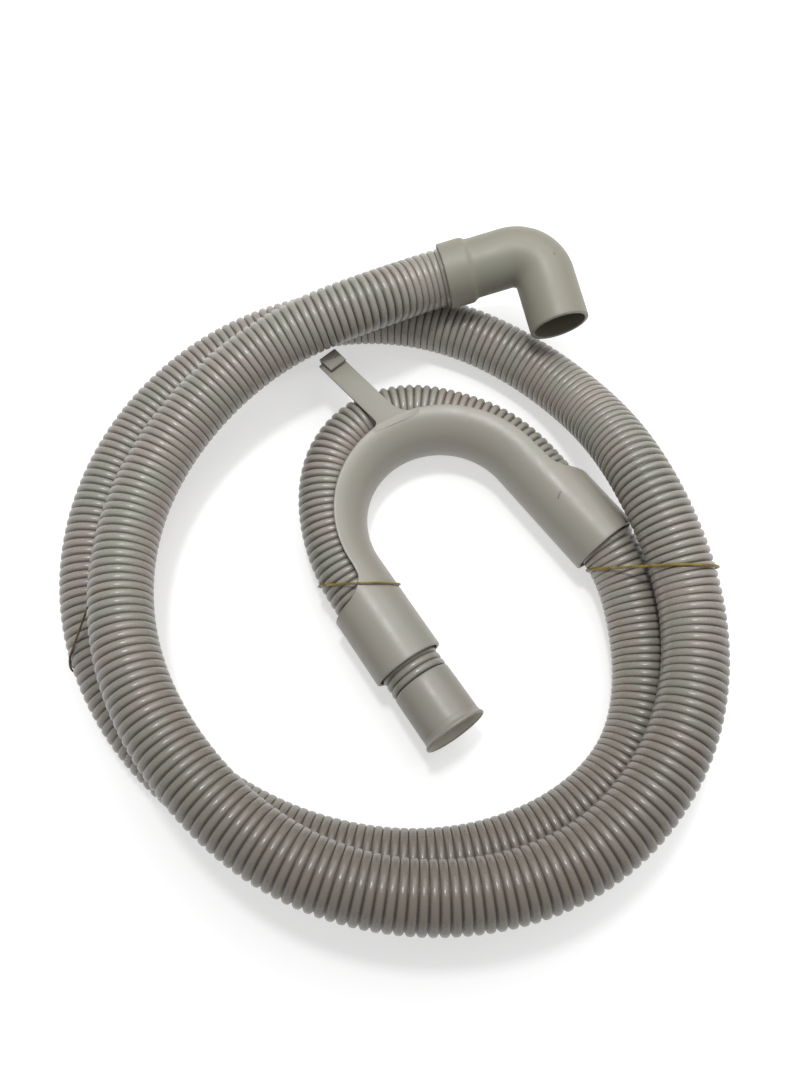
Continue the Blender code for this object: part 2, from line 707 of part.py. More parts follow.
def centre_model(items, fittings, frames):
    """Parents every piece to one empty and moves it so that the fittings' box is centred on the origin."""
    bpy.context.view_layer.update()
    graph = bpy.context.evaluated_depsgraph_get()
    corners = []
    for item in fittings:
        mesh = item.evaluated_get(graph).to_mesh()
        corners += [item.matrix_world @ vertex.co for vertex in mesh.vertices]
        item.evaluated_get(graph).to_mesh_clear()
    points = np.array([tuple(corner) for corner in corners])
    low, high = points.min(axis=0), points.max(axis=0)
    base = bpy.data.objects.new(NAME + "_origin", None)
    CUTTERS.objects.link(base)
    for item in items + frames:
        if item.parent is None:
            item.parent = base
    base.location = (-(low[0] + high[0]) / 2.0, -(low[1] + high[1]) / 2.0, -low[2])


def build():
    """Builds every piece and places the model on its origin."""
    reset_scene()
    hose = make_hose(plastic("hose_plastic", (0.31, 0.29, 0.27), 0.42))
    elbow, elbow_holder = make_elbow(plastic("elbow_plastic", (0.35, 0.34, 0.28), 0.55))
    cuff = make_cuff(plastic("cuff_plastic", (0.33, 0.31, 0.28), 0.38))
    guide = make_guide(plastic("guide_plastic", (0.38, 0.37, 0.34), 0.36))
    bands = make_bands(plastic("band_rubber", (0.20, 0.15, 0.05), 0.50))
    cutters = [item for item in CUTTERS.objects if item.type == "MESH"]
    centre_model([hose, cuff, guide, *bands, *cutters], [elbow, cuff, guide, *bands], [elbow_holder])


build()
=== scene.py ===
"""Washing machine drain hose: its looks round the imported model.

A grey corrugated hose lies in one and a half turns. One end is seated in a moulded elbow, the other
passes through a U-shaped hook guide and ends at a smooth cuff. Thin elastic bands tie the coil.
All lengths are in metres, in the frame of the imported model.
"""

import logging
import math
from dataclasses import dataclass, field
from enum import Enum

import bpy
import numpy as np
from mathutils import Matrix, Vector


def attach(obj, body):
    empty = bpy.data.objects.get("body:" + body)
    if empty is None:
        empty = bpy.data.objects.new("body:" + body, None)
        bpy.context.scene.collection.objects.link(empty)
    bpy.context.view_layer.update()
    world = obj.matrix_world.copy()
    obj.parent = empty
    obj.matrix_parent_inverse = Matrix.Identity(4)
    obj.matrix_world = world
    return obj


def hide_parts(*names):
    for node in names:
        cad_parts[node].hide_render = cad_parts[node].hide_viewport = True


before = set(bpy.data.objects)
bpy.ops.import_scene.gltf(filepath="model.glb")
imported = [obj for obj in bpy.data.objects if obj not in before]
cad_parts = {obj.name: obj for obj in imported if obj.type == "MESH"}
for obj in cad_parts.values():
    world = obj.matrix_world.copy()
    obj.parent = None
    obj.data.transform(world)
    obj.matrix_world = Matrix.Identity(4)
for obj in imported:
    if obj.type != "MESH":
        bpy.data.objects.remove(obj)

LOG = logging.getLogger("drain_hose")
Array = np.ndarray
Pair = tuple[float, float]
Triple = tuple[float, float, float]
Colour = Triple
Number = "Value | float"
Item = bpy.types.Object
Material = bpy.types.Material
Socket = bpy.types.NodeSocket
TAU = math.tau
UP = np.array((0.0, 0.0, 1.0))
MM = 0.001


def spline_rows(knots: Array, spacing: float) -> Array:
    """Points at an even spacing on the natural cubic spline by chord length through the knots.

    Between two knots a and b, with second derivatives m_a and m_b and a span h, the point at a distance u
    before b and v after a is (m_a u^3 + m_b v^3) / 6h + (a/h - m_a h/6) u + (b/h - m_b h/6) v.

    Args:
        knots: the points to pass through, one row each.
        spacing: distance along the chords from one point of the curve to the next.

    Returns:
        The points of the curve.
    """
    chord = run_length(knots)
    span = np.diff(chord)
    count = len(knots)
    matrix = np.eye(count)
    inner = np.arange(1, count - 1)
    matrix[inner, inner - 1] = span[:-1]
    matrix[inner, inner] = 2.0 * (span[:-1] + span[1:])
    matrix[inner, inner + 1] = span[1:]
    rhs = np.zeros_like(knots)
    rhs[1:-1] = 6.0 * np.diff(np.diff(knots, axis=0) / span[:, None], axis=0)
    curve = np.linalg.solve(matrix, rhs)
    stations = np.linspace(0.0, chord[-1], round(chord[-1] / spacing) + 1)
    k = np.clip(np.searchsorted(chord, stations, side="right") - 1, 0, count - 2)
    width = span[k][:, None]
    before = (chord[k + 1] - stations)[:, None]
    after = (stations - chord[k])[:, None]
    rows = (curve[k] * before**3 + curve[k + 1] * after**3) / (6.0 * width)
    rows += (knots[k] / width - curve[k] * width / 6.0) * before
    return rows + (knots[k + 1] / width - curve[k + 1] * width / 6.0) * after


def unit(rows: Array) -> Array:
    """Rows divided by their lengths."""
    return rows / np.linalg.norm(rows, axis=-1, keepdims=True)


def heading(angle: Array | float) -> Array:
    """Plan directions (cos, sin) on a last axis."""
    return np.stack([np.cos(angle), np.sin(angle)], -1)


def round_angles(count: int) -> Array:
    """Angles evenly round a circle, from 0."""
    return np.linspace(0.0, TAU, count, endpoint=False)


def with_column(rows: Array, value: float) -> Array:
    """Rows with one more column, which holds the same value everywhere."""
    return np.column_stack([rows, np.full(len(rows), value)])


def level_frame(travel: Array) -> tuple[Array, Array]:
    """Level unit vectors across the travel, and those up from it, so that across x up is the travel."""
    across = unit(np.cross(UP, travel))
    return across, np.cross(travel, across)


def run_length(line: Array) -> Array:
    """Distance along a line of points, from its start to each point."""
    return np.concatenate([[0.0], np.cumsum(np.linalg.norm(np.diff(line, axis=0), axis=1))])


def read_rows(at: Array, known: Array, rows: Array) -> Array:
    """Rows interpolated at any array of places, with the coordinates on a last axis."""
    return np.stack([np.interp(at, known, rows[:, k]) for k in range(rows.shape[1])], -1)


def read_line(line: Array, at: Array) -> Array:
    """Points of a line of close points at the given distances along it."""
    return read_rows(at, run_length(line), line)


def line_frames(line: Array) -> tuple[Array, Array, Array]:
    """Unit vectors along a line of points, level across it, and up from it."""
    travel = unit(np.gradient(line, axis=0))
    return travel, *level_frame(travel)


def even_loop(loop: Array, count: int) -> tuple[Array, Array]:
    """Points at an even spacing round a closed line.

    Args:
        loop: points of the line, without the first one again.
        count: number of points wanted.

    Returns:
        The points, and unit vectors of the travel at each.
    """
    ring = np.vstack([loop, loop[:1]])
    line = read_line(ring, np.linspace(0.0, run_length(ring)[-1], count, endpoint=False))
    return line, unit(np.roll(line, -1, 0) - np.roll(line, 1, 0))


def moved(points: Array, placement: Matrix) -> Array:
    """Points, with their coordinates on the last axis, carried through a placement."""
    matrix = np.array(placement)
    return points @ matrix[:3, :3].T + matrix[:3, 3]


def sheet_faces(number: Array) -> Array:
    """Quads between the neighbours of a grid of point numbers: (i, j), (i, j+1), (i+1, j+1), (i+1, j)."""
    corners = number[:-1, :-1], number[:-1, 1:], number[1:, 1:], number[1:, :-1]
    return np.stack(corners, -1).reshape(-1, 4)


def ribbon_faces(first: Array, second: Array) -> Array:
    """Quads between two lines of point numbers, which face the other way from a sheet's."""
    return sheet_faces(np.column_stack([first, second]))[:, (0, 3, 2, 1)]


def grid_faces(rows: int, columns: int, closed: bool = True) -> Array:
    """Quads of a tube whose point (i, j) is number i * columns + j.

    Args:
        rows: number of rings along the tube.
        columns: number of points in each ring.
        closed: whether the last ring joins the first.

    Returns:
        Four point numbers for each quad, in an order that faces out where the columns turn anticlockwise
        about the direction of travel.
    """
    number = np.arange(rows * columns).reshape(rows, columns)
    return sheet_faces(np.pad(number, ((0, int(closed)), (0, 1)), mode="wrap"))


def put_object(name: str, data: bpy.types.ID) -> Item:
    """Adds an object to the scene.

    Args:
        name: name of the object.
        data: its mesh, camera or lamp.

    Returns:
        The object.
    """
    item = bpy.data.objects.new(name, data)
    bpy.context.scene.collection.objects.link(item)
    return item


def put_mesh(name: str, points: Array, quads: Array, caps: list[list[int]] | None = None,
             crease: float | None = None) -> Item:
    """Makes a smooth-shaded mesh object at the origin from whole arrays, without unused points.

    Args:
        name: name of the piece.
        points: one row of coordinates for each point.
        quads: four point numbers for each face.
        caps: further faces of any size.
        crease: angle between faces over which an edge stays sharp, or None for smooth everywhere.

    Returns:
        The new object, linked to the scene.
    """
    used = np.unique(np.concatenate([quads.ravel(), *[np.array(cap) for cap in caps or []]]))
    number = np.zeros(len(points), int)
    number[used] = np.arange(len(used))
    mesh = bpy.data.meshes.new(name)
    faces = number[quads].tolist() + [number[cap].tolist() for cap in caps or []]
    mesh.from_pydata(points[used].tolist(), [], faces)
    mesh.validate()
    mesh.shade_smooth()
    if crease is not None:
        mesh.set_sharp_from_angle(angle=crease)
    return put_object(name, mesh)


def mark_points(item: Item, name: str, values: Array) -> None:
    """Stores a number on each point of a piece, such as its height or whether it is inside a bore."""
    mark = item.data.attributes.new(name, "FLOAT", "POINT")
    mark.data.foreach_set("value", values.astype(np.float32))


def ring_points(centre: Array, radius: Array | float, first: Array, second: Array, sides: int) -> Array:
    """Rings of points: centre + radius (first cos a + second sin a), with a ring in each row.

    Args:
        centre: centres of the rings, one row each.
        radius: radius of each ring, or of all.
        first: unit vectors in the planes of the rings, or one for all.
        second: unit vectors at right angles, so that first x second is the travel.
        sides: number of points in a ring.

    Returns:
        The points.
    """
    angle = round_angles(sides)[:, None]
    first, second = [np.broadcast_to(way, centre.shape)[:, None] for way in (first, second)]
    size = np.broadcast_to(radius, len(centre))[:, None, None]
    return centre[:, None] + size * (first * np.cos(angle) + second * np.sin(angle))


def put_tube(name: str, rings: Array) -> Item:
    """Makes a piece whose rings run along a tube, or out and back in, and end where they began."""
    return put_mesh(name, rings.reshape(-1, 3), grid_faces(*rings.shape[:2]))


ORIGIN_SHIFT = np.array([-0.005312, -0.045971, -0.000381])


@dataclass(frozen=True)
class HookPlan:
    """Plan of the hook guide: two straight legs joined by a bend, in the frame of the route's points."""

    bend_centre: Pair = (0.0325, 0.0269)
    bend_radius: float = 0.060
    bend_turn: float = math.radians(176.0)
    yaw: float = math.radians(128.2)
    right_leg: float = 0.0663
    left_leg: float = 0.0562
    height: float = 0.0210
    hose_height: float = 0.0205

    def limits(self) -> Pair:
        """Angles about the bend's centre at which the bend starts and ends."""
        start = self.yaw - math.pi / 2.0
        return start, start + self.bend_turn

    def at(self, angle: Array | float, radius: Array | float) -> Array:
        """Plan points at an angle about the bend's centre: centre + radius (cos, sin)."""
        return np.array(self.bend_centre) + np.asarray(radius)[..., None] * heading(angle)

    def directions(self) -> tuple[Array, Array]:
        """Unit vectors along the right leg towards the bend, and along the left leg away from it."""
        return heading(self.yaw), heading(self.yaw + self.bend_turn)


@dataclass
class HoseRoute:
    """Centre line of the hose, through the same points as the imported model's.

    Only the coil's last two points and the entry of the right sleeve differ, by up to 1.7 mm, so that the
    hose lies against the outer strand there.
    """

    coil: tuple[Triple, ...] = (
        (-0.0020, 0.1485, 0.0515), (-0.0500, 0.1270, 0.0490), (-0.1015, 0.0820, 0.0425),
        (-0.1290, 0.0200, 0.0415), (-0.1240, -0.0480, 0.0460), (-0.0890, -0.1070, 0.0492),
        (-0.0345, -0.1480, 0.0492), (0.0325, -0.1605, 0.0475), (0.0980, -0.1415, 0.0468),
        (0.1425, -0.0905, 0.0460), (0.1545, -0.0235, 0.0435), (0.1365, 0.0410, 0.0455),
        (0.1100, 0.1015, 0.0220), (0.0575, 0.1445, 0.0165), (-0.0090, 0.1605, 0.0165),
        (-0.0750, 0.1450, 0.0165), (-0.1275, 0.1010, 0.0165), (-0.1550, 0.0385, 0.0168),
        (-0.1515, -0.0295, 0.0180), (-0.1180, -0.0890, 0.0166), (-0.0630, -0.1295, 0.0164),
        (0.0025, -0.1475, 0.0165), (0.0705, -0.1385, 0.0165), (0.1245, -0.0970, 0.0165),
        (0.1352, -0.0300, 0.0172))
    hook: HookPlan = field(default_factory=HookPlan)
    hose_diameter: float = 0.032
    elbow_corner: Triple = (0.0866, 0.1763, 0.0583)
    elbow_turn: Triple = (math.radians(13.6), math.radians(8.6), math.radians(11.3))
    elbow_run: float = 0.0541
    seat_depth: float = 0.0105
    bulge: float = 0.012
    bulge_angle: float = math.radians(130.0)
    bulge_spread: float = math.radians(66.0)
    bend_points: int = 9
    cuff_pitch: float = math.radians(6.0)
    cuff_gap: float = 0.0108
    lean: float = 0.0011
    spacing: float = 0.0005

    def elbow_frame(self) -> Matrix:
        """Places the elbow by its corner.

        Returns:
            The placement, with the collar's axis along local X and the leg down local Y.
        """
        yaw, pitch, roll = self.elbow_turn
        turn = Matrix.Rotation(yaw, 4, "Z") @ Matrix.Rotation(-pitch, 4, "Y") @ Matrix.Rotation(roll, 4, "X")
        return Matrix.Translation(Vector(self.elbow_corner) + Vector(ORIGIN_SHIFT)) @ turn

    def cuff_direction(self) -> Array:
        """Unit vector along the cuff towards its mouth."""
        left = self.hook.directions()[1]
        return np.array([*(left * math.cos(self.cuff_pitch)), math.sin(self.cuff_pitch)])

    def cuff_seat(self) -> Array:
        """Finds where the hose ends.

        Returns:
            The centre of the hose's end face at the cuff.
        """
        left = self.hook.directions()[1]
        end = self.hook.limits()[1]
        foot = self.hook.at(end, self.hook.bend_radius) + left * (self.hook.left_leg + self.cuff_gap)
        height = self.hook.hose_height + self.cuff_gap * math.sin(self.cuff_pitch)
        return np.array([*foot, height]) + ORIGIN_SHIFT

    def hooked(self) -> Array:
        """Points of the hose in the guide: on the legs' axes, and sprung outwards in the bend.

        Where it enters the right sleeve, the hose leans a little against the sleeve's outer side.

        In the bend the radius is R + bulge cos(90 degrees * reach)^2, where reach is the angle from the
        bulge's middle divided by its spread, at most 1.

        Returns:
            The points, from the right sleeve to the left one.
        """
        plan = self.hook
        start, end = plan.limits()
        right, left = plan.directions()
        angle = np.linspace(start, end, self.bend_points)
        reach = np.minimum(1.0, np.abs(angle - self.bulge_angle) / self.bulge_spread)
        bend = plan.at(angle, plan.bend_radius + self.bulge * np.cos(math.pi / 2.0 * reach) ** 2)
        head = plan.at(start, plan.bend_radius)
        foot = plan.at(end, plan.bend_radius)
        entry = head - right * plan.right_leg + heading(start) * self.lean
        on_legs = head - right * plan.right_leg / 2.0, foot + left * plan.left_leg / 2.0
        flat = np.vstack([entry, on_legs[0], bend, on_legs[1]])
        return with_column(flat, plan.hose_height) + ORIGIN_SHIFT

    def knots(self) -> Array:
        """Lists what the centre line passes through.

        Returns:
            The points, from the elbow's seat to the cuff.
        """
        neck = self.hose_diameter / 4.0
        elbow = self.elbow_frame()
        seat = [elbow @ Vector((along - self.elbow_run, 0.0, 0.0)) for along in (self.seat_depth, -neck)]
        finish = self.cuff_seat()
        coil = np.array(self.coil) + ORIGIN_SHIFT
        before = finish - self.cuff_direction() * neck
        return np.vstack([np.array(seat), coil, self.hooked(), before, finish])

    def line(self) -> Array:
        """The centre line read at a close spacing."""
        return spline_rows(self.knots(), self.spacing)


@dataclass
class Value:
    """A number socket of a shader, with the arithmetic that adds its Math nodes."""

    tree: "Tree"
    socket: Socket

    def _math(self, operation: str, first: Number, second: Number = 0.0,
              clamp: bool = False) -> "Value":
        """One Math node.

        Args:
            operation: name of the operation.
            first: first operand.
            second: second operand.
            clamp: whether the result is held between 0 and 1.

        Returns:
            The node's result.
        """
        settings = {"operation": operation, "use_clamp": clamp}
        node = self.tree.node("ShaderNodeMath", settings, {0: first, 1: second})
        return Value(self.tree, node.outputs[0])

    def __add__(self, other: Number) -> "Value":
        """self + other."""
        return self._math("ADD", self, other)

    __radd__ = __add__

    def __mul__(self, other: Number) -> "Value":
        """self * other."""
        return self._math("MULTIPLY", self, other)

    __rmul__ = __mul__

    def __sub__(self, other: Number) -> "Value":
        """self - other."""
        return self._math("SUBTRACT", self, other)

    def __rsub__(self, other: Number) -> "Value":
        """other - self."""
        return self._math("SUBTRACT", other, self)

    def clamped(self) -> "Value":
        """self held between 0 and 1."""
        return self._math("ADD", self, 0.0, clamp=True)

    def ramp(self, low: float, high: float) -> "Value":
        """0 at low, 1 at high, straight between them and held outside.

        Args:
            low: value that gives 0.
            high: value that gives 1.

        Returns:
            The ramped value.
        """
        return ((self - low) * (1.0 / (high - low))).clamped()


@dataclass
class Tree:
    """A node tree under construction."""

    tree: bpy.types.NodeTree

    def node(self, kind: str, settings: dict[str, object] | None = None,
             inputs: dict[int | str, object] | None = None) -> bpy.types.Node:
        """Adds any node.

        Args:
            kind: the node's type.
            settings: its settings, set first.
            inputs: the values or links of its sockets, by number or name.

        Returns:
            The node.
        """
        made = self.tree.nodes.new(kind)
        for key, value in (settings or {}).items():
            setattr(made, key, value)
        for key, value in (inputs or {}).items():
            self.feed(made.inputs[key], value)
        return made

    def feed(self, socket: Socket, value: object) -> None:
        """Links a value or an output to a socket, or sets a constant.

        Args:
            socket: the input.
            value: a Value, a socket, a number or a tuple.
        """
        if isinstance(value, Value):
            self.tree.links.new(value.socket, socket)
        elif isinstance(value, Socket):
            self.tree.links.new(value, socket)
        elif isinstance(value, tuple) and len(value) == 3 and socket.type == "RGBA":
            socket.default_value = (*value, 1.0)
        else:
            socket.default_value = value


class Finish(Tree):
    """A Principled material under construction."""

    def __init__(self, name: str, roughness: float, specular: float = 0.5) -> None:
        """Makes the material and sets the numbers that are the same all over.

        Args:
            name: name of the material.
            roughness: roughness where nothing else is linked.
            specular: specular level.
        """
        self.material = bpy.data.materials.new(name)
        self.material.use_nodes = True
        super().__init__(self.material.node_tree)
        self.shader = self.tree.nodes["Principled BSDF"]
        self.roughness(roughness)
        self.feed(self.shader.inputs["Specular IOR Level"], specular)

    def place(self) -> Socket:
        """Object coordinates."""
        return self.node("ShaderNodeTexCoord").outputs["Object"]

    def coordinate(self, axis: int) -> Value:
        """One of the object coordinates: 0 for x, 1 for y and 2 for z."""
        return Value(self, self.node("ShaderNodeSeparateXYZ", {}, {0: self.place()}).outputs[axis])

    def attribute(self, name: str) -> Value:
        """A number stored on the mesh's points."""
        return Value(self, self.node("ShaderNodeAttribute", {"attribute_name": name}).outputs["Fac"])

    def mix(self, factor: Number, first: object, second: object) -> Socket:
        """A colour between two.

        Args:
            factor: 0 gives the first, 1 the second.
            first: colour or socket.
            second: colour or socket.

        Returns:
            The mixed colour.
        """
        inputs = {0: factor, 6: first, 7: second}
        return self.node("ShaderNodeMix", {"data_type": "RGBA"}, inputs).outputs[2]

    def bump(self, height: Value, depth: float) -> None:
        """Links a height map to the normal.

        Args:
            height: the height, from 0 to 1.
            depth: metres between height 0 and 1.
        """
        node = self.node("ShaderNodeBump", {}, {"Strength": 1.0, "Distance": depth, "Height": height})
        self.feed(self.shader.inputs["Normal"], node.outputs["Normal"])

    def colour(self, value: object) -> None:
        """Sets or links the base colour."""
        self.feed(self.shader.inputs["Base Color"], value)

    def roughness(self, value: object) -> None:
        """Sets or links the roughness."""
        self.feed(self.shader.inputs["Roughness"], value)


@dataclass(frozen=True)
class Mottle:
    """Noise of a finish: cells per metre, octaves, weight of the finer octaves, limits for a ramp."""

    scale: float
    detail: float
    weight: float = 0.5
    limits: Pair = (0.35, 0.65)

    def noise(self, finish: Finish) -> Value:
        """The noise on object coordinates.

        Args:
            finish: the finish that it is for.

        Returns:
            A value of about 0.5 on average.
        """
        inputs = {"Scale": self.scale, "Detail": self.detail, "Roughness": self.weight}
        node = finish.node("ShaderNodeTexNoise", {}, {"Vector": finish.place(), **inputs})
        return Value(finish, node.outputs["Fac"])

    def patches(self, finish: Finish) -> Value:
        """The noise ramped between its limits."""
        return self.noise(finish).ramp(*self.limits)


@dataclass(frozen=True)
class MouldedGrey:
    """Grey moulded plastic: mottled a little, with faint dirt, fine grain and a soft sheen."""

    name: str
    base: Colour
    warm: Colour
    cool: Colour
    gloss: float
    # Colour where the points are marked inside: painted shade in the elbow's bore, painted light in the
    # cuff's mouth.
    inner: Colour = (0.0, 0.0, 0.0)
    marks: tuple[tuple[float, float, float, float], ...] = ()
    mark_colour: Colour = (0.075, 0.070, 0.058)
    mark_strength: float = 0.55
    mark_core: float = 0.4
    broad: Mottle = Mottle(28.0, 2.0)
    broad_strength: float = 0.55
    specks: Mottle = Mottle(160.0, 4.0, 0.6, (0.3, 0.7))
    speck_strength: float = 0.35
    unevenness: float = 0.10
    grain: Mottle = Mottle(1400.0, 2.0)
    grain_depth: float = 0.00002

    def build(self) -> Material:
        """Makes the material, whose marks are rows of a place and a radius.

        Returns:
            The material.
        """
        finish = Finish(self.name, self.gloss)
        specks = self.specks.patches(finish)
        colour = finish.mix(self.broad.patches(finish) * self.broad_strength, self.warm, self.cool)
        colour = finish.mix(specks * self.speck_strength, colour, self.base)
        # Painted light and shade inside bores: the inside mark swaps in the inner colour.
        colour = finish.mix(finish.attribute("inside"), colour, self.inner)
        for x, y, z, size in self.marks:
            ends = {0: finish.place(), 1: (x, y, z)}
            far = finish.node("ShaderNodeVectorMath", {"operation": "DISTANCE"}, ends).outputs["Value"]
            near = 1.0 - Value(finish, far).ramp(size * self.mark_core, size)
            colour = finish.mix(near * self.mark_strength, colour, self.mark_colour)
        finish.colour(colour)
        finish.roughness(specks * self.unevenness + (self.gloss - self.unevenness / 2.0))
        finish.bump(self.grain.noise(finish), self.grain_depth)
        return finish.material


@dataclass(frozen=True)
class CorrugatedGrey:
    """Blown grey plastic of the hose: dark in the grooves, darker and browner towards the front; both are
    painted shade.
    """

    name: str = "hose_plastic_look"
    ridge: Colour = (0.285, 0.264, 0.229)
    warm: Colour = (0.302, 0.261, 0.232)
    cool: Colour = (0.270, 0.270, 0.227)
    # Painted shade: darker, browner colour laid over the hose towards the front.
    front_shade: Colour = (0.150, 0.131, 0.107)
    # Painted shade in the grooves: near-black colour where the height over the groove is low.
    groove: Colour = (0.030, 0.026, 0.020)
    gloss: float = 0.27
    crest: float = 0.92
    front: Pair = (-0.06, -0.215)
    front_shade_strength: float = 0.95
    broad: Mottle = Mottle(34.0, 2.0, limits=(0.36, 0.64))
    specks: Mottle = Mottle(420.0, 3.0, 0.6, (0.35, 0.75))
    speck_strength: float = 0.3
    polish: float = 0.04
    unevenness: float = 0.12
    grain: Mottle = Mottle(900.0, 3.0, 0.55)
    grain_depth: float = 0.00006

    def build(self) -> Material:
        """Makes the material, which reads the height over the groove from the points' attribute.

        Returns:
            The material.
        """
        finish = Finish(self.name, self.gloss)
        height = finish.attribute("ridge")
        specks = self.specks.patches(finish)
        colour = finish.mix(self.broad.patches(finish), self.warm, self.cool)
        colour = finish.mix(specks * self.speck_strength, colour, self.ridge)
        # Painted shade: the hose darkens towards the front, ramped by the y coordinate.
        colour = finish.mix(finish.coordinate(1).ramp(*self.front) * self.front_shade_strength, colour, self.front_shade)
        # Painted shade: the colour falls to the groove colour down in the grooves, and partly in the bore.
        finish.colour(finish.mix(height.ramp(0.0, self.crest), self.groove, colour))
        finish.roughness((specks + (1.0 - height)) * self.unevenness + (self.gloss - self.polish))
        finish.bump(self.grain.noise(finish), self.grain_depth)
        return finish.material


@dataclass(frozen=True)
class Elastic:
    """Olive-brown elastic of the bands."""

    name: str = "band_rubber_look"
    light: Colour = (0.290, 0.205, 0.030)
    dark: Colour = (0.150, 0.105, 0.018)
    gloss: float = 0.45
    streaks: Mottle = Mottle(220.0, 3.0)
    weave: Mottle = Mottle(2600.0, 2.0)
    weave_depth: float = 0.00003

    def build(self) -> Material:
        """Makes the material.

        Returns:
            The material.
        """
        finish = Finish(self.name, self.gloss)
        finish.colour(finish.mix(self.streaks.patches(finish), self.light, self.dark))
        finish.bump(self.weave.noise(finish), self.weave_depth)
        return finish.material


ELBOW_MARK = (0.0884, 0.1167, 0.0710, 0.0011)
GUIDE_SCRATCH = tuple(
    (0.0895 - 0.0003 * k, -0.0102 - 0.0007 * k, 0.0389 - 0.0002 * k, 0.0007) for k in range(6))


class Look(Enum):
    """The finish of each kind of piece."""

    HOSE = CorrugatedGrey()
    # The elbow's inner colour is painted shade in its bore.
    ELBOW = MouldedGrey("elbow_look", (0.238, 0.231, 0.183), (0.246, 0.229, 0.187), (0.223, 0.231, 0.181),
                        0.48, inner=(0.16, 0.15, 0.11), marks=(ELBOW_MARK,))
    # The cuff's inner colour, much lighter than its outside, is painted light inside its mouth.
    CUFF = MouldedGrey("cuff_look", (0.250, 0.239, 0.205), (0.266, 0.238, 0.212), (0.236, 0.242, 0.201),
                       0.39, inner=(0.58, 0.54, 0.465))
    GUIDE = MouldedGrey("guide_look", (0.277, 0.269, 0.224), (0.290, 0.266, 0.231), (0.260, 0.271, 0.223),
                        0.38, marks=GUIDE_SCRATCH)
    BAND = Elastic()
    SHADED_BAND = Elastic("shaded_band_look", (0.105, 0.078, 0.020), (0.040, 0.031, 0.012))


@dataclass
class CorrugatedHose:
    """Annular corrugated hose carried along its route."""

    route: HoseRoute
    diameter: float = 0.032
    depth: float = 0.0018
    wall: float = 0.0008
    sides: int = 31
    bore_rings: int = 110
    path_points: int = 420
    ridge: tuple[Pair, ...] = (
        (-0.5, 0.0), (-0.405, 0.64), (-0.25, 0.93), (0.0, 1.0), (0.25, 0.93), (0.405, 0.64))
    stretch_power: float = -1.5
    stretch_limits: Pair = (0.62, 1.25)
    end_height: float = 0.2
    bore_shade: float = 0.25
    pitches: tuple[Pair, ...] = (
        (0.0, 0.00433), (5.0, 0.00433), (6.5, 0.00440), (8.0, 0.00462), (10.0, 0.00455),
        (11.2, 0.00425), (12.3, 0.00400), (13.3, 0.00400), (14.0, 0.00420), (14.8, 0.00445),
        (18.0, 0.00445), (22.0, 0.00460), (24.0, 0.00440), (26.0, 0.00410), (39.0, 0.00410))

    def ridge_places(self, fine: Array) -> tuple[Array, Array]:
        """Where the ridges are, from the spacing written at some knots of the route.

        The count of ridges up to a place is the integral of 1 / spacing, scaled to a whole number.

        Args:
            fine: close points of the centre line.

        Returns:
            Distances of the ridges along the line, and the spacing at each.
        """
        length = run_length(fine)
        chord = run_length(self.route.knots())
        known = np.array(self.pitches)
        at_knot = np.interp(np.linspace(0.0, chord[-1], len(fine)), chord, np.arange(len(chord)))
        spacing = np.interp(at_knot, known[:, 0], known[:, 1])
        count = np.concatenate([[0.0], np.cumsum(np.diff(length) / spacing[1:])])
        whole = round(count[-1])
        count *= whole / count[-1]
        places = np.interp(np.arange(whole) + 0.5, count, length)
        return places, np.gradient(places)

    def build(self) -> tuple[Item, Array]:
        """Makes the hose.

        A surface point is line(s) + r (across(s) cos a + up(s) sin a). Over one spacing r runs from the
        groove to the ridge and back. A ridge keeps its width where a bend stretches the hose, so its
        points stand at s = ridge + phase * spacing * (1 - r curvature . normal)^power, within limits.
        Inside runs a smooth bore, from the last end back to the first, and the ends are rings between.

        Returns:
            The hose and the ring centres that it follows.
        """
        fine = self.route.line()
        length = run_length(fine)
        end = length[-1]
        travel, across, up = line_frames(fine)
        bend = np.gradient(travel, axis=0) / np.gradient(length)[:, None]
        places, spacing = self.ridge_places(fine)
        cos, sin = heading(round_angles(self.sides)).T[:, :, None]
        beside, above, curve = [read_rows(places, length, rows)[:, None] for rows in (across, up, bend)]
        curve = np.sum(curve * (beside * cos + above * sin), -1)
        stretch = np.clip((1.0 - self.diameter / 2.0 * curve) ** self.stretch_power, *self.stretch_limits)
        phase, height = np.array(self.ridge).T
        width = np.where(phase[:, None] == phase[0], 1.0, stretch[:, None])
        at = places[:, None, None] + phase[:, None] * spacing[:, None, None] * width
        ridges = np.clip(at.reshape(-1, self.sides), 0.0, end)
        back = np.repeat(np.linspace(end, 0.0, self.bore_rings)[:, None], self.sides, 1)
        at = np.vstack([np.zeros((1, self.sides)), ridges, np.full((1, self.sides), end), back])
        tall = np.concatenate([[self.end_height], np.tile(height, len(places)), [self.end_height]])
        groove = self.diameter / 2.0 - self.depth
        radius = np.concatenate([groove + self.depth * tall, np.full(self.bore_rings, groove - self.wall)])
        normal = unit(read_rows(at, length, across)) * cos + unit(read_rows(at, length, up)) * sin
        points = read_rows(at, length, fine) + radius[:, None, None] * normal
        hose = put_tube("corrugated_hose", points)
        shade = np.concatenate([tall, np.full(self.bore_rings, self.bore_shade)])
        mark_points(hose, "ridge", np.repeat(shade, self.sides))
        return hose, read_line(fine, np.linspace(0.0, end, self.path_points))


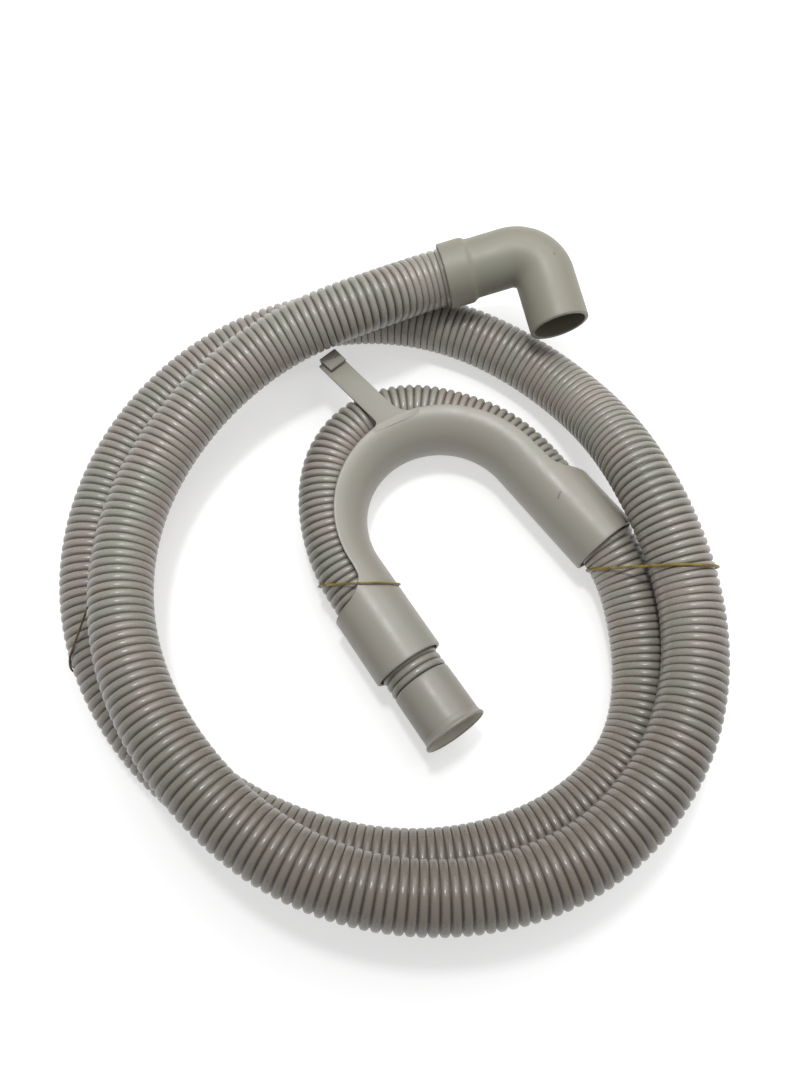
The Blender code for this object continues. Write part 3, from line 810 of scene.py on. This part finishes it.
@dataclass
class Elbow:
    """Bent tube whose collar takes the hose's end."""

    route: HoseRoute
    bend: float = 0.018
    leg: float = 0.0470
    outer_radius: float = 0.0165
    bore_radius: float = 0.0143
    sides: int = 72
    collar: tuple[Pair, ...] = (
        (0.0, 17.7), (0.12, 18.05), (0.4, 18.35), (0.9, 18.42), (1.5, 18.36), (2.1, 18.3), (5.0, 18.3),
        (9.0, 18.3), (12.4, 18.3), (13.1, 18.24), (13.8, 18.0), (14.6, 17.5), (15.4, 17.0),
        (16.2, 16.68), (17.2, 16.53), (18.5, 16.5), (24.0, 16.5), (30.0, 16.5))
    bend_outside: Pair = (0.0352, 0.0655)
    mouth: tuple[Pair, ...] = (
        (24.0, 16.5), (16.0, 16.5), (8.0, 16.5), (2.0, 16.5), (0.9, 16.5), (0.45, 16.44), (0.15, 16.25),
        (0.0, 15.95), (0.0, 14.8), (0.15, 14.52), (0.5, 14.34), (1.2, 14.3), (8.0, 14.3), (20.0, 14.3))
    bend_inside: Pair = (0.0650, 0.0358)
    bend_rows: tuple[int, int] = (34, 26)
    seat: tuple[Pair, ...] = (
        (24.0, 14.3), (11.0, 14.3), (10.9, 16.3), (10.6, 16.32), (1.0, 16.32), (0.3, 16.4),
        (0.05, 16.7))
    seen_bore_from: float = 0.0241
    seen_bore_radius: float = 0.01445

    def axis_at(self, at: Array) -> tuple[Array, Array]:
        """Centres and sideways directions of the rings, in the elbow's frame.

        Args:
            at: distances from the collar's face along the centre line.

        Returns:
            Points of the line and unit vectors in the plane of the bend, to the left of the travel.
        """
        straight = self.route.elbow_run - self.bend
        turn = np.clip((at - straight) / self.bend, 0.0, math.pi / 2.0)
        before = np.minimum(at - straight, 0.0)
        after = np.maximum(at - straight - self.bend * math.pi / 2.0, 0.0)
        flat = np.zeros(len(at))
        x = before + self.bend * (np.sin(turn) - 1.0)
        y = self.bend * (np.cos(turn) - 1.0) - after
        return np.stack([x, y, flat], -1), np.stack([np.sin(turn), np.cos(turn), flat], -1)

    def profile(self) -> Array:
        """Closed outline of the wall: along the outside to the mouth, and back through the bore to the seat.

        The tables are in millimetres. The mouth's distances are counted back from the mouth.

        Returns:
            Rows of the distance from the collar's face and the radius.
        """
        total = self.route.elbow_run + self.bend * (math.pi / 2.0 - 2.0) + self.leg
        mouth = np.array(self.mouth) * MM
        mouth[:, 0] = total - mouth[:, 0]
        outside = with_column(np.linspace(*self.bend_outside, self.bend_rows[0]), self.outer_radius)
        inside = with_column(np.linspace(*self.bend_inside, self.bend_rows[1]), self.bore_radius)
        return np.vstack([np.array(self.collar) * MM, outside, mouth, inside, np.array(self.seat) * MM])

    def build(self) -> Item:
        """Makes the elbow.

        Returns:
            The elbow.
        """
        profile = self.profile()
        centre, side = self.axis_at(profile[:, 0])
        rings = ring_points(centre, profile[:, 1], side, UP, self.sides)
        elbow = put_tube("moulded_elbow", moved(rings, self.route.elbow_frame()))
        # Marks the bore's seen part, which the finish darkens as painted shade.
        inside = (profile[:, 1] < self.seen_bore_radius) & (profile[:, 0] > self.seen_bore_from)
        mark_points(elbow, "inside", np.repeat(inside, self.sides))
        return elbow


@dataclass
class EndCuff:
    """Smooth cuff with a soft lip at its mouth."""

    route: HoseRoute
    gap: float = 0.0003
    sides: int = 72
    profile: tuple[Pair, ...] = (
        (0.0, 15.3), (0.15, 15.65), (0.5, 15.92), (1.1, 16.0), (3.0, 16.03), (10.0, 16.05),
        (18.0, 16.05), (24.6, 16.05), (25.3, 16.03), (25.7, 15.93), (26.1, 15.93), (26.5, 16.05),
        (27.2, 16.1), (27.9, 16.22), (28.4, 16.5), (28.8, 16.85), (29.2, 17.1), (29.6, 17.18),
        (30.0, 17.12), (30.3, 16.92), (30.45, 16.65), (30.45, 16.2), (30.2, 15.95), (29.6, 15.75),
        (28.0, 15.3), (25.0, 14.75), (21.0, 14.3), (16.0, 14.0), (10.0, 14.0), (1.0, 14.0),
        (0.2, 14.15), (0.0, 14.5))
    first_inside: int = 23

    def build(self) -> Item:
        """Makes the cuff, turned about its axis and laid along the hose's end.

        The profile's rows are heights and radii in millimetres, up the outside and down the inside.

        Returns:
            The cuff.
        """
        height, radius = np.array(self.profile).T * MM
        along = self.route.cuff_direction()
        centre = self.route.cuff_seat() + (self.gap + height)[:, None] * along
        cuff = put_tube("end_cuff_smooth", ring_points(centre, radius, *level_frame(along), self.sides))
        # Marks the inside rows, which the finish lightens as painted light.
        mark_points(cuff, "inside", np.repeat(np.arange(len(height)) >= self.first_inside, self.sides))
        return cuff


@dataclass
class GuideArm:
    """Flat arm of the hook guide: a rounded strip that widens into the bend and folds over at its end.

    Its X runs along the arm from the crest of the bend, Y across it and Z up, before it slopes down.
    """

    plan: HookPlan
    crest: float
    angle: float = math.radians(119.0)
    skew: float = math.radians(12.0)
    drop: float = math.radians(6.5)
    half: float = 0.00675
    thick: float = 0.0016
    length: float = 0.0550
    straight_from: float = 0.0135
    inset: float = 0.0009
    buried: float = 0.0022
    fillets: Pair = (0.0050, 0.0100)
    notches: Pair = (0.0023, 0.0003)
    lip: float = 0.0012
    fold_radius: float = 0.0015
    fold_level: float = 0.00078
    fold_back: Pair = (0.0015, 0.0090)
    root_dip: float = 0.0005
    eased: float = 0.0080
    sunk: float = 0.00012
    corner: float = 0.00035
    fillet_rows: int = 14
    straight_rows: int = 12
    fold_rows: int = 12
    back_rows: int = 5

    def fold(self) -> tuple[Array, Array, Array]:
        """Side view of the folded end: places along the arm, heights and turns of its rows.

        It is half a circle from below to above, and the part that lies folded back.

        Returns:
            The places, the heights and the angles by which the strip has turned over.
        """
        turn = np.linspace(-math.pi / 2.0, math.pi / 2.0, self.fold_rows)
        hinge = self.length - self.lip
        back = hinge - np.linspace(*self.fold_back, self.back_rows)
        turned = np.concatenate([turn, np.full(len(back), math.pi / 2.0)])
        places = np.concatenate([hinge + self.fold_radius * np.cos(turn), back])
        return places, self.fold_level + self.fold_radius * np.sin(turned), turned + math.pi / 2.0

    def edge(self, sign: float, fillet: float, notch: float) -> Array:
        """One edge of the strip in plan, from inside the bend to the fold's end.

        It leaves the bend's outer rim in the curve (1 - t)^2 foot + 2 t (1 - t) corner + t^2 along.

        Args:
            sign: 1 for the left edge and -1 for the right one.
            fillet: how far the curve reaches along the rim and along the edge.
            notch: how much the folded part is narrower on this side.

        Returns:
            Points (x, y) of the edge.
        """
        across = sign * self.half
        rim = self.plan.bend_radius - self.inset
        middle = heading(math.pi - self.skew) * self.plan.bend_radius
        reach = middle[0] + math.sqrt(rim**2 - (across - middle[1]) ** 2)
        way = heading(math.atan2(across - middle[1], reach - middle[0]) + sign * fillet / rim)
        foot, corner = middle + rim * way, np.array([reach, across])
        along = corner + (fillet, 0.0)
        t = np.linspace(0.0, 1.0, self.fillet_rows)[:, None]
        curve = (1.0 - t) ** 2 * foot + 2.0 * t * (1.0 - t) * corner + t**2 * along
        straight = np.linspace(self.straight_from, self.length - self.thick, self.straight_rows)
        straight = with_column(straight, across)
        folded = with_column(self.fold()[0], sign * (self.half - notch))
        return np.vstack([middle + (rim - self.buried) * way, curve, straight, folded])

    def section(self) -> tuple[Array, Array]:
        """The rounded cross-section, going round anticlockwise.

        Returns:
            The sides, 1 or -1, of each point's width and height, and the offsets from those sides.
        """
        corners = np.array(((1, 1), (-1, 1), (-1, -1), (1, -1)))
        turn = np.radians([0.0, 30.0, 60.0, 90.0]) + np.arange(4)[:, None] * math.pi / 2.0
        offset = self.corner * (heading(turn) - corners[:, None])
        return np.repeat(corners, 4, 0).T, offset.reshape(-1, 2).T

    def build(self) -> tuple[Array, Array, list[list[int]]]:
        """Lays the cross-section along the strip, which slopes down by its drop.

        Towards the bend its height is lowered by ease (1 - x / eased)^2, and then by x tan(drop), so that
        it ends level with the crest.

        Returns:
            The points, the quads and the two end caps.
        """
        left = self.edge(1.0, self.fillets[0], self.notches[0])
        right = self.edge(-1.0, self.fillets[1], self.notches[1])
        centre, span = (left + right) / 2.0, (left - right) / 2.0
        _, fold_up, fold_spin = self.fold()
        root = len(left) - len(fold_up)
        up = np.concatenate([np.full(root, -self.thick / 2.0), fold_up])
        up[0] -= self.root_dip
        deep = np.where(np.arange(len(left)) < root, self.thick, self.lip) / 2.0
        spin = np.concatenate([np.zeros(root), fold_spin])[:, None]
        size = np.linalg.norm(span, axis=1)
        way = span / size[:, None]
        side, offset = self.section()
        out = side[0] * size[:, None] + offset[0]
        rise = side[1] * deep[:, None] + offset[1]
        x = centre[:, :1] + out * way[:, :1] - rise * np.sin(spin)
        y = centre[:, 1:] + out * way[:, 1:]
        z = up[:, None] + rise * np.cos(spin)
        ease = 0.5 * math.tan(self.drop) * self.eased
        past = x - centre[1, 0]
        z -= ease * np.clip(1.0 - past / self.eased, 0.0, 1.0) ** 2
        z += math.tan(self.drop) * np.minimum(past, 0.0)
        top = self.plan.height + self.crest + ease - self.sunk
        placement = Matrix.Translation((*self.plan.at(self.angle, self.plan.bend_radius), top))
        placement @= Matrix.Rotation(self.angle + self.skew, 4, "Z") @ Matrix.Rotation(self.drop, 4, "Y")
        rows, columns = x.shape
        caps = [list(range(columns))[::-1], list(range((rows - 1) * columns, rows * columns))]
        points = moved(np.stack([x, y, z], -1), placement).reshape(-1, 3) + ORIGIN_SHIFT
        return points, grid_faces(rows, columns, closed=False), caps


@dataclass
class HookGuide:
    """Moulded guide: two sleeves, the open bend between them, and the flat arm with its folded end."""

    plan: HookPlan
    bore: float = 0.0174
    wall: float = 0.0018
    edge_right: tuple[Pair, ...] = (
        (0.0, 0.0025), (0.0150, 0.0034), (0.0177, 0.0046), (0.0221, 0.0079), (0.0289, 0.0164),
        (0.0320, 0.0228))
    edge_left: tuple[Pair, ...] = (
        (0.0, -0.0035), (0.0060, -0.0026), (0.0100, 0.0001), (0.0136, 0.0048), (0.0158, 0.0115),
        (0.0165, 0.0228))
    end_rows: tuple[float, ...] = (0.0, 0.0001, 0.0003, 0.0006, 0.0010, 0.0025)
    end_length: float = 0.0006
    end_round: Pair = (0.0005, 0.0003)
    rim: tuple[Pair, ...] = ((0.0, -0.45), (0.2, -0.12), (0.5, 0.0), (1.4, 0.0), (3.0, 0.0))
    rim_grows: float = 0.35
    slit: float = 0.0005
    around: int = 40
    crease: float = math.radians(25.0)

    def lengths(self) -> Pair:
        """Distances along the axis, from the right sleeve's end, at which the bend starts and ends."""
        first = self.plan.right_leg
        return first, first + self.plan.bend_radius * self.plan.bend_turn

    def axis_at(self, at: Array) -> tuple[Array, Array]:
        """Centres of the cross-sections and the level directions away from the bend's centre.

        Args:
            at: distances along the axis.

        Returns:
            Points of the axis and unit vectors.
        """
        first, last = self.lengths()
        start = self.plan.limits()[0]
        right, left = self.plan.directions()
        angle = start + (np.clip(at, first, last) - first) / self.plan.bend_radius
        before, after = np.minimum(at - first, 0.0)[:, None], np.maximum(at - last, 0.0)[:, None]
        flat = self.plan.at(angle, self.plan.bend_radius) + right * before + left * after
        return with_column(flat, self.plan.height) + ORIGIN_SHIFT, with_column(heading(angle), 0.0)

    def opening(self, at: Array) -> Array:
        """How far out from the axis the walls reach, smoothed over 3 mm.

        Args:
            at: distances along the guide.

        Returns:
            The reach at each distance.
        """
        first, last = self.lengths()
        total = last + self.plan.left_leg
        margin, step, window = 0.003, 0.00025, 11
        fine = np.arange(-margin, total + margin, step)
        right, left = np.array(self.edge_right), np.array(self.edge_left)
        drift = np.clip((fine - first) / (last - first), 0.0, 1.0)
        edge = right[0, 1] + (left[0, 1] - right[0, 1]) * drift
        edge = np.where(fine < first, np.interp(first - fine, right[:, 0], right[:, 1]), edge)
        edge = np.where(fine > last, np.interp(fine - last, left[:, 0], left[:, 1]), edge)
        padded = np.pad(edge, window // 2, mode="edge")
        return np.interp(at, fine, np.convolve(padded, np.ones(window) / window, "valid"))

    def rows(self) -> Array:
        """Places the cross-sections, close together at both ends and where the channel opens.

        Returns:
            Their distances along the guide.
        """
        first, last = self.lengths()
        total = last + self.plan.left_leg
        ends = np.array(self.end_rows)
        runs = ((0.006, first - 0.034, 0.004), (first - 0.0335, first - 0.012, 0.0004),
                (last + 0.0045, last + 0.0185, 0.0003), (last + 0.020, total - 0.004, 0.004))
        bend = np.linspace(first - 0.0115, last + 0.004, 96)
        parts = [ends, total - ends, bend, *[np.arange(*run) for run in runs]]
        return np.unique(np.round(np.concatenate(parts), 7))

    def skin(self, at: Array, radius: Array, whole: Array, raised: bool) -> Array:
        """Points of one skin of the channel, with a cross-section in each row.

        A cross-section is the part of a ring that lies nearer the bend's centre than the opening's edge e:
        angles from arccos(e / r) round to the same on the other side. A whole ring starts at 0.

        Args:
            at: distances of the cross-sections along the axis.
            radius: radius of each ring.
            whole: which rings are whole.
            raised: whether it is the outer skin, which is rounded off at the edge.

        Returns:
            The points.
        """
        centre, outward = self.axis_at(at)
        begin = np.arccos(np.clip(self.opening(at) / radius, -1.0, 1.0))
        begin = np.where(whole, 0.0, np.maximum(begin, self.slit))[:, None]
        along, lift = np.array(self.rim).T * MM
        close = begin + along / (self.bore + self.wall)
        far = TAU - close[:, ::-1]
        middle = np.linspace(0.0, 1.0, self.around + 2)[1:-1]
        between = close[:, -1:] + (far[:, :1] - close[:, -1:]) * middle
        angle = np.hstack([close, between, far])[..., None]
        size = np.repeat(radius[:, None], angle.shape[1], 1)
        if raised:
            rise = np.concatenate([lift, np.zeros(self.around), lift[::-1]])
            size += rise * np.clip(begin / self.rim_grows, 0.0, 1.0)
        return centre[:, None] + size[..., None] * (outward[:, None] * np.cos(angle) - UP * np.sin(angle))

    def channel(self) -> tuple[Array, Array]:
        """Points and quads of the two sleeves and the open bend.

        Where the rings are whole, their first and last columns are one.

        Returns:
            The points and the quads.
        """
        at = self.rows()
        near = np.minimum(at, at[-1] - at)
        rounding = np.clip(1.0 - near / self.end_length, 0.0, 1.0) ** 2
        outer = self.bore + self.wall - self.end_round[0] * rounding
        inner = self.bore + self.end_round[1] * rounding
        whole = self.opening(at) >= outer
        outside, inside = self.skin(at, outer, whole, True), self.skin(at, inner, whole, False)
        rows, columns = outside.shape[:2]
        out_no = np.arange(rows * columns).reshape(rows, columns)
        in_no = out_no + rows * columns
        for number in (out_no, in_no):
            number[whole, -1] = number[whole, 0]
        gap = ~(whole[:-1] & whole[1:])
        sheets = [
            sheet_faces(out_no), sheet_faces(in_no)[:, (0, 3, 2, 1)],
            ribbon_faces(out_no[:, 0], in_no[:, 0])[gap], ribbon_faces(in_no[:, -1], out_no[:, -1])[gap],
            ribbon_faces(in_no[0], out_no[0]), ribbon_faces(out_no[-1], in_no[-1])]
        return np.vstack([outside.reshape(-1, 3), inside.reshape(-1, 3)]), np.vstack(sheets)

    def build(self) -> Item:
        """Makes the guide.

        Returns:
            The guide.
        """
        points, quads = self.channel()
        arm_points, arm_quads, caps = GuideArm(self.plan, self.bore + self.wall).build()
        shift = len(points)
        caps = [[number + shift for number in cap] for cap in caps]
        return put_mesh("hook_guide_moulding", np.vstack([points, arm_points]),
                        np.vstack([quads, arm_quads + shift]), caps, self.crease)


@dataclass
class SideBand:
    """The left elastic: in a groove of the upper strand, then tight across the lower one."""

    route: HoseRoute
    hose: CorrugatedHose
    radius: float = 0.00055
    points: int = 150
    sides: int = 10
    part_points: int = 60
    left_of: float = -0.064
    split_height: float = 0.032
    stand_off: Pair = (1.3, 0.8)
    upper: tuple[Pair, ...] = ((-0.0280, 219.0), (-0.0280, 46.0))
    lower: tuple[Pair, ...] = (
        (-0.0450, 42.0), (-0.0475, 25.0), (-0.0490, 5.0), (-0.0495, -20.0), (-0.0490, -45.0),
        (-0.0470, -70.0), (-0.0440, -92.0), (-0.0405, -115.0), (-0.0370, -138.0))

    def part(self, rows: tuple[Pair, ...], high: bool, level: float) -> Array:
        """Line over part of a strand's surface.

        Args:
            rows: the y of the strand's axis and the angle about it, from 0 outwards through 90 on top.
            high: whether the strand is the upper one.
            level: distance of the line from the strand's axis.

        Returns:
            Points of the line.
        """
        fine = self.route.line()
        length = run_length(fine)
        side = (fine[:, 0] < self.left_of) & ((fine[:, 2] > self.split_height) == high)
        _, across, up = line_frames(fine)
        step = np.linspace(0.0, len(rows) - 1.0, self.part_points)
        y, turn = read_rows(step, np.arange(len(rows)), np.array(rows)).T
        at = np.interp(y + ORIGIN_SHIFT[1], fine[side][::-1, 1], length[side][::-1])
        if high:
            places, spacing = self.hose.ridge_places(fine)
            at = np.full(len(at), places[np.argmin(np.abs(places - at[0]))] - spacing[0] / 2.0)
        turn = np.radians(turn)[:, None]
        spoke = read_rows(at, length, up) * np.sin(turn) - read_rows(at, length, across) * np.cos(turn)
        return read_rows(at, length, fine) + level * spoke

    def build(self) -> Item:
        """Makes the band as a closed round tube, which stands off the hose by shares of its radius.

        Returns:
            The band.
        """
        ridge = self.hose.diameter / 2.0
        in_groove, on_ridges = self.radius * self.stand_off[0], self.radius * self.stand_off[1]
        loop = np.vstack([self.part(self.upper, True, ridge - self.hose.depth + in_groove),
                          self.part(self.lower, False, ridge + on_ridges)])
        line, travel = even_loop(loop, self.points)
        inward = unit(np.roll(line, -1, 0) - 2.0 * line.mean(0) + np.roll(line, 1, 0))
        axis = unit(np.cross(travel, inward))
        tube = ring_points(line, self.radius, axis, np.cross(travel, axis), self.sides)
        return put_tube("left_elastic", tube)


@dataclass
class TautBand:
    """An elastic stretched round two strands, in a plane that leans a little from upright."""

    route: HoseRoute
    foot: Triple = (0.0985, -0.0430, 0.0)
    level_slope: float = -0.0151
    rise_slope: float = -0.2316
    width: float = 0.070
    reach: float = 0.0161
    radius: float = 0.00072
    points: int = 160
    sides: int = 10
    oval_points: int = 90
    outline_turns: int = 720

    def plane(self) -> tuple[Array, Array, Array]:
        """The plane that the band lies in.

        Returns:
            Level direction in the plane, upward direction in it, and its normal.
        """
        way = unit(np.array([1.0, self.level_slope, 0.0]))
        normal = unit(np.array([self.level_slope, -1.0, self.rise_slope]))
        return way, np.cross(normal, way), normal

    def crossings(self) -> list[tuple[Array, Array]]:
        """Finds where the hose's centre line passes through the plane.

        Returns:
            The place and the line's direction at each crossing.
        """
        way, _, normal = self.plane()
        line = self.route.line()
        side = (line - self.foot) @ normal
        along = (line - self.foot) @ way
        near = (along[:-1] > 0.0) & (along[:-1] < self.width)
        found = np.flatnonzero((side[:-1] * side[1:] <= 0.0) & near)
        return [(line[k], unit(line[k + 1] - line[k])) for k in found]

    def build(self) -> Item:
        """Makes the band as a closed round tube.

        The plane cuts each strand in an oval: centre + r n - t (r n . m) / (t . m), with n turning about the
        strand's direction t and m the plane's normal. The band is the outline round all the ovals.

        Returns:
            The band.
        """
        way, rise, normal = self.plane()
        circle = (self.reach + self.radius) * heading(round_angles(self.oval_points))
        ovals = []
        for centre, travel in self.crossings():
            spoke = circle @ np.stack(level_frame(travel))
            ovals.append(centre + spoke - travel * (spoke @ normal / (travel @ normal))[:, None])
        points = np.vstack(ovals) - self.foot
        flat = np.column_stack([points @ way, points @ rise])
        furthest = np.argmax(flat @ heading(round_angles(self.outline_turns)).T, axis=0)
        order = [k for k, before in zip(furthest, np.roll(furthest, 1)) if k != before]
        loop = self.foot + flat[order, :1] * way + flat[order, 1:] * rise
        line, travel = even_loop(loop, self.points)
        tube = ring_points(line, self.radius, np.cross(travel, normal), -normal, self.sides)
        return put_tube("right_elastic", tube)


@dataclass(frozen=True)
class Lamp:
    """Square area lamp that faces the origin, with its side length and its power in watts."""

    name: str
    place: Triple
    size: float
    power: float

    def build(self) -> None:
        """Adds the lamp."""
        data = bpy.data.lights.new(self.name, "AREA")
        data.size = self.size
        data.energy = self.power
        item = put_object(self.name, data)
        item.location = self.place
        item.rotation_euler = (-Vector(self.place)).to_track_quat("-Z", "Y").to_euler()


@dataclass
class Studio:
    """Camera, lights and the white floor."""

    eye: Triple = (0.007031, -0.175971, 0.430)
    elevation: float = math.radians(70.5)
    lens: float = 26.667
    sensor: float = 36.0
    sight: Pair = (0.01, 20.0)
    floor_half: float = 3.0
    floor_level: float = -0.0004
    floor_colour: Colour = (0.62, 0.62, 0.62)
    floor_glow_near: Colour = (0.50, 0.50, 0.50)
    floor_glow_far: Colour = (0.86, 0.86, 0.86)
    glow_range: Pair = (0.35, 1.10)
    world_light: float = 0.46
    world_seen: float = 1.0
    lamps: tuple[Lamp, ...] = (
        Lamp("key_lamp", (-0.05, 0.22, 1.10), 0.12, 4.2),
        Lamp("soft_lamp", (0.18, 0.40, 0.80), 0.80, 5.0))

    def camera(self) -> None:
        """Puts the camera at the photograph's viewing place, looking down at the coil."""
        data = bpy.data.cameras.new("camera")
        data.lens = self.lens
        data.sensor_width = self.sensor
        data.sensor_fit = "AUTO"
        data.clip_start, data.clip_end = self.sight
        item = put_object("camera", data)
        item.location = self.eye
        item.rotation_euler = (math.pi / 2.0 - self.elevation, 0.0, 0.0)
        bpy.context.scene.camera = item

    def floor(self) -> None:
        """Adds a large white floor, lit a little from within, that keeps the object's shadow."""
        half = self.floor_half
        corners = [(-half, -half), (half, -half), (half, half), (-half, half)]
        quad = with_column(np.array(corners), self.floor_level)
        item = put_mesh("floor", quad, np.array([[0, 1, 2, 3]]))
        finish = Finish("floor_white", roughness=0.9, specular=0.0)
        finish.colour(self.floor_colour)
        away = finish.node("ShaderNodeVectorMath", {"operation": "LENGTH"}, {0: finish.place()})
        far = Value(finish, away.outputs["Value"]).ramp(*self.glow_range)
        glow = finish.mix(far, self.floor_glow_near, self.floor_glow_far)
        finish.feed(finish.shader.inputs["Emission Color"], glow)
        finish.feed(finish.shader.inputs["Emission Strength"], 1.0)
        item.data.materials.append(finish.material)

    def world(self) -> None:
        """White surroundings: full white to the camera, weaker as a light."""
        world = bpy.data.worlds.new("surroundings")
        world.use_nodes = True
        tree = Tree(world.node_tree)
        back = tree.tree.nodes["Background"]
        seen = tree.node("ShaderNodeLightPath").outputs["Is Camera Ray"]
        levels = {"Value": seen, "To Min": self.world_light, "To Max": self.world_seen}
        tree.feed(back.inputs["Color"], (1.0, 1.0, 1.0))
        tree.feed(back.inputs["Strength"], tree.node("ShaderNodeMapRange", {}, levels).outputs["Result"])
        bpy.context.scene.world = world

    def build(self) -> None:
        """Sets up everything round the object."""
        self.camera()
        self.world()
        self.floor()
        for lamp in self.lamps:
            lamp.build()
        bpy.context.scene.view_settings.view_transform = "Standard"


def main() -> None:
    """Builds the pieces in order and reports each."""
    logging.basicConfig(level=logging.INFO, format="%(message)s")
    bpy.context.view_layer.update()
    Studio().build()
    route = HoseRoute()
    tube = CorrugatedHose(route)
    hose, centres = tube.build()
    grey = Look.HOSE.value.build()
    pieces = {
        "hose": (hose, grey, "hose_plastic"),
        "elbow": (Elbow(route).build(), Look.ELBOW.value.build(), "elbow_plastic"),
        "end_cuff": (EndCuff(route).build(), Look.CUFF.value.build(), "cuff_plastic"),
        "hook_guide": (HookGuide(route.hook).build(), Look.GUIDE.value.build(), "guide_plastic"),
        "band_left": (SideBand(route, tube).build(), Look.SHADED_BAND.value.build(), "band_rubber"),
        "band_right": (TautBand(route).build(), Look.BAND.value.build(), "band_rubber"),
    }
    for node, (piece, material, slot) in pieces.items():
        piece.data.materials.append(material)
        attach(piece, "root")
        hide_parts(node)
        LOG.info("%s: %d faces", piece.name, len(piece.data.polygons))
    tuple(route.knots()[0])
    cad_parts["band_hook"].data.materials.clear()
    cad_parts["band_hook"].data.materials.append(pieces["band_right"][1])


if __name__ == "__main__":
    main()
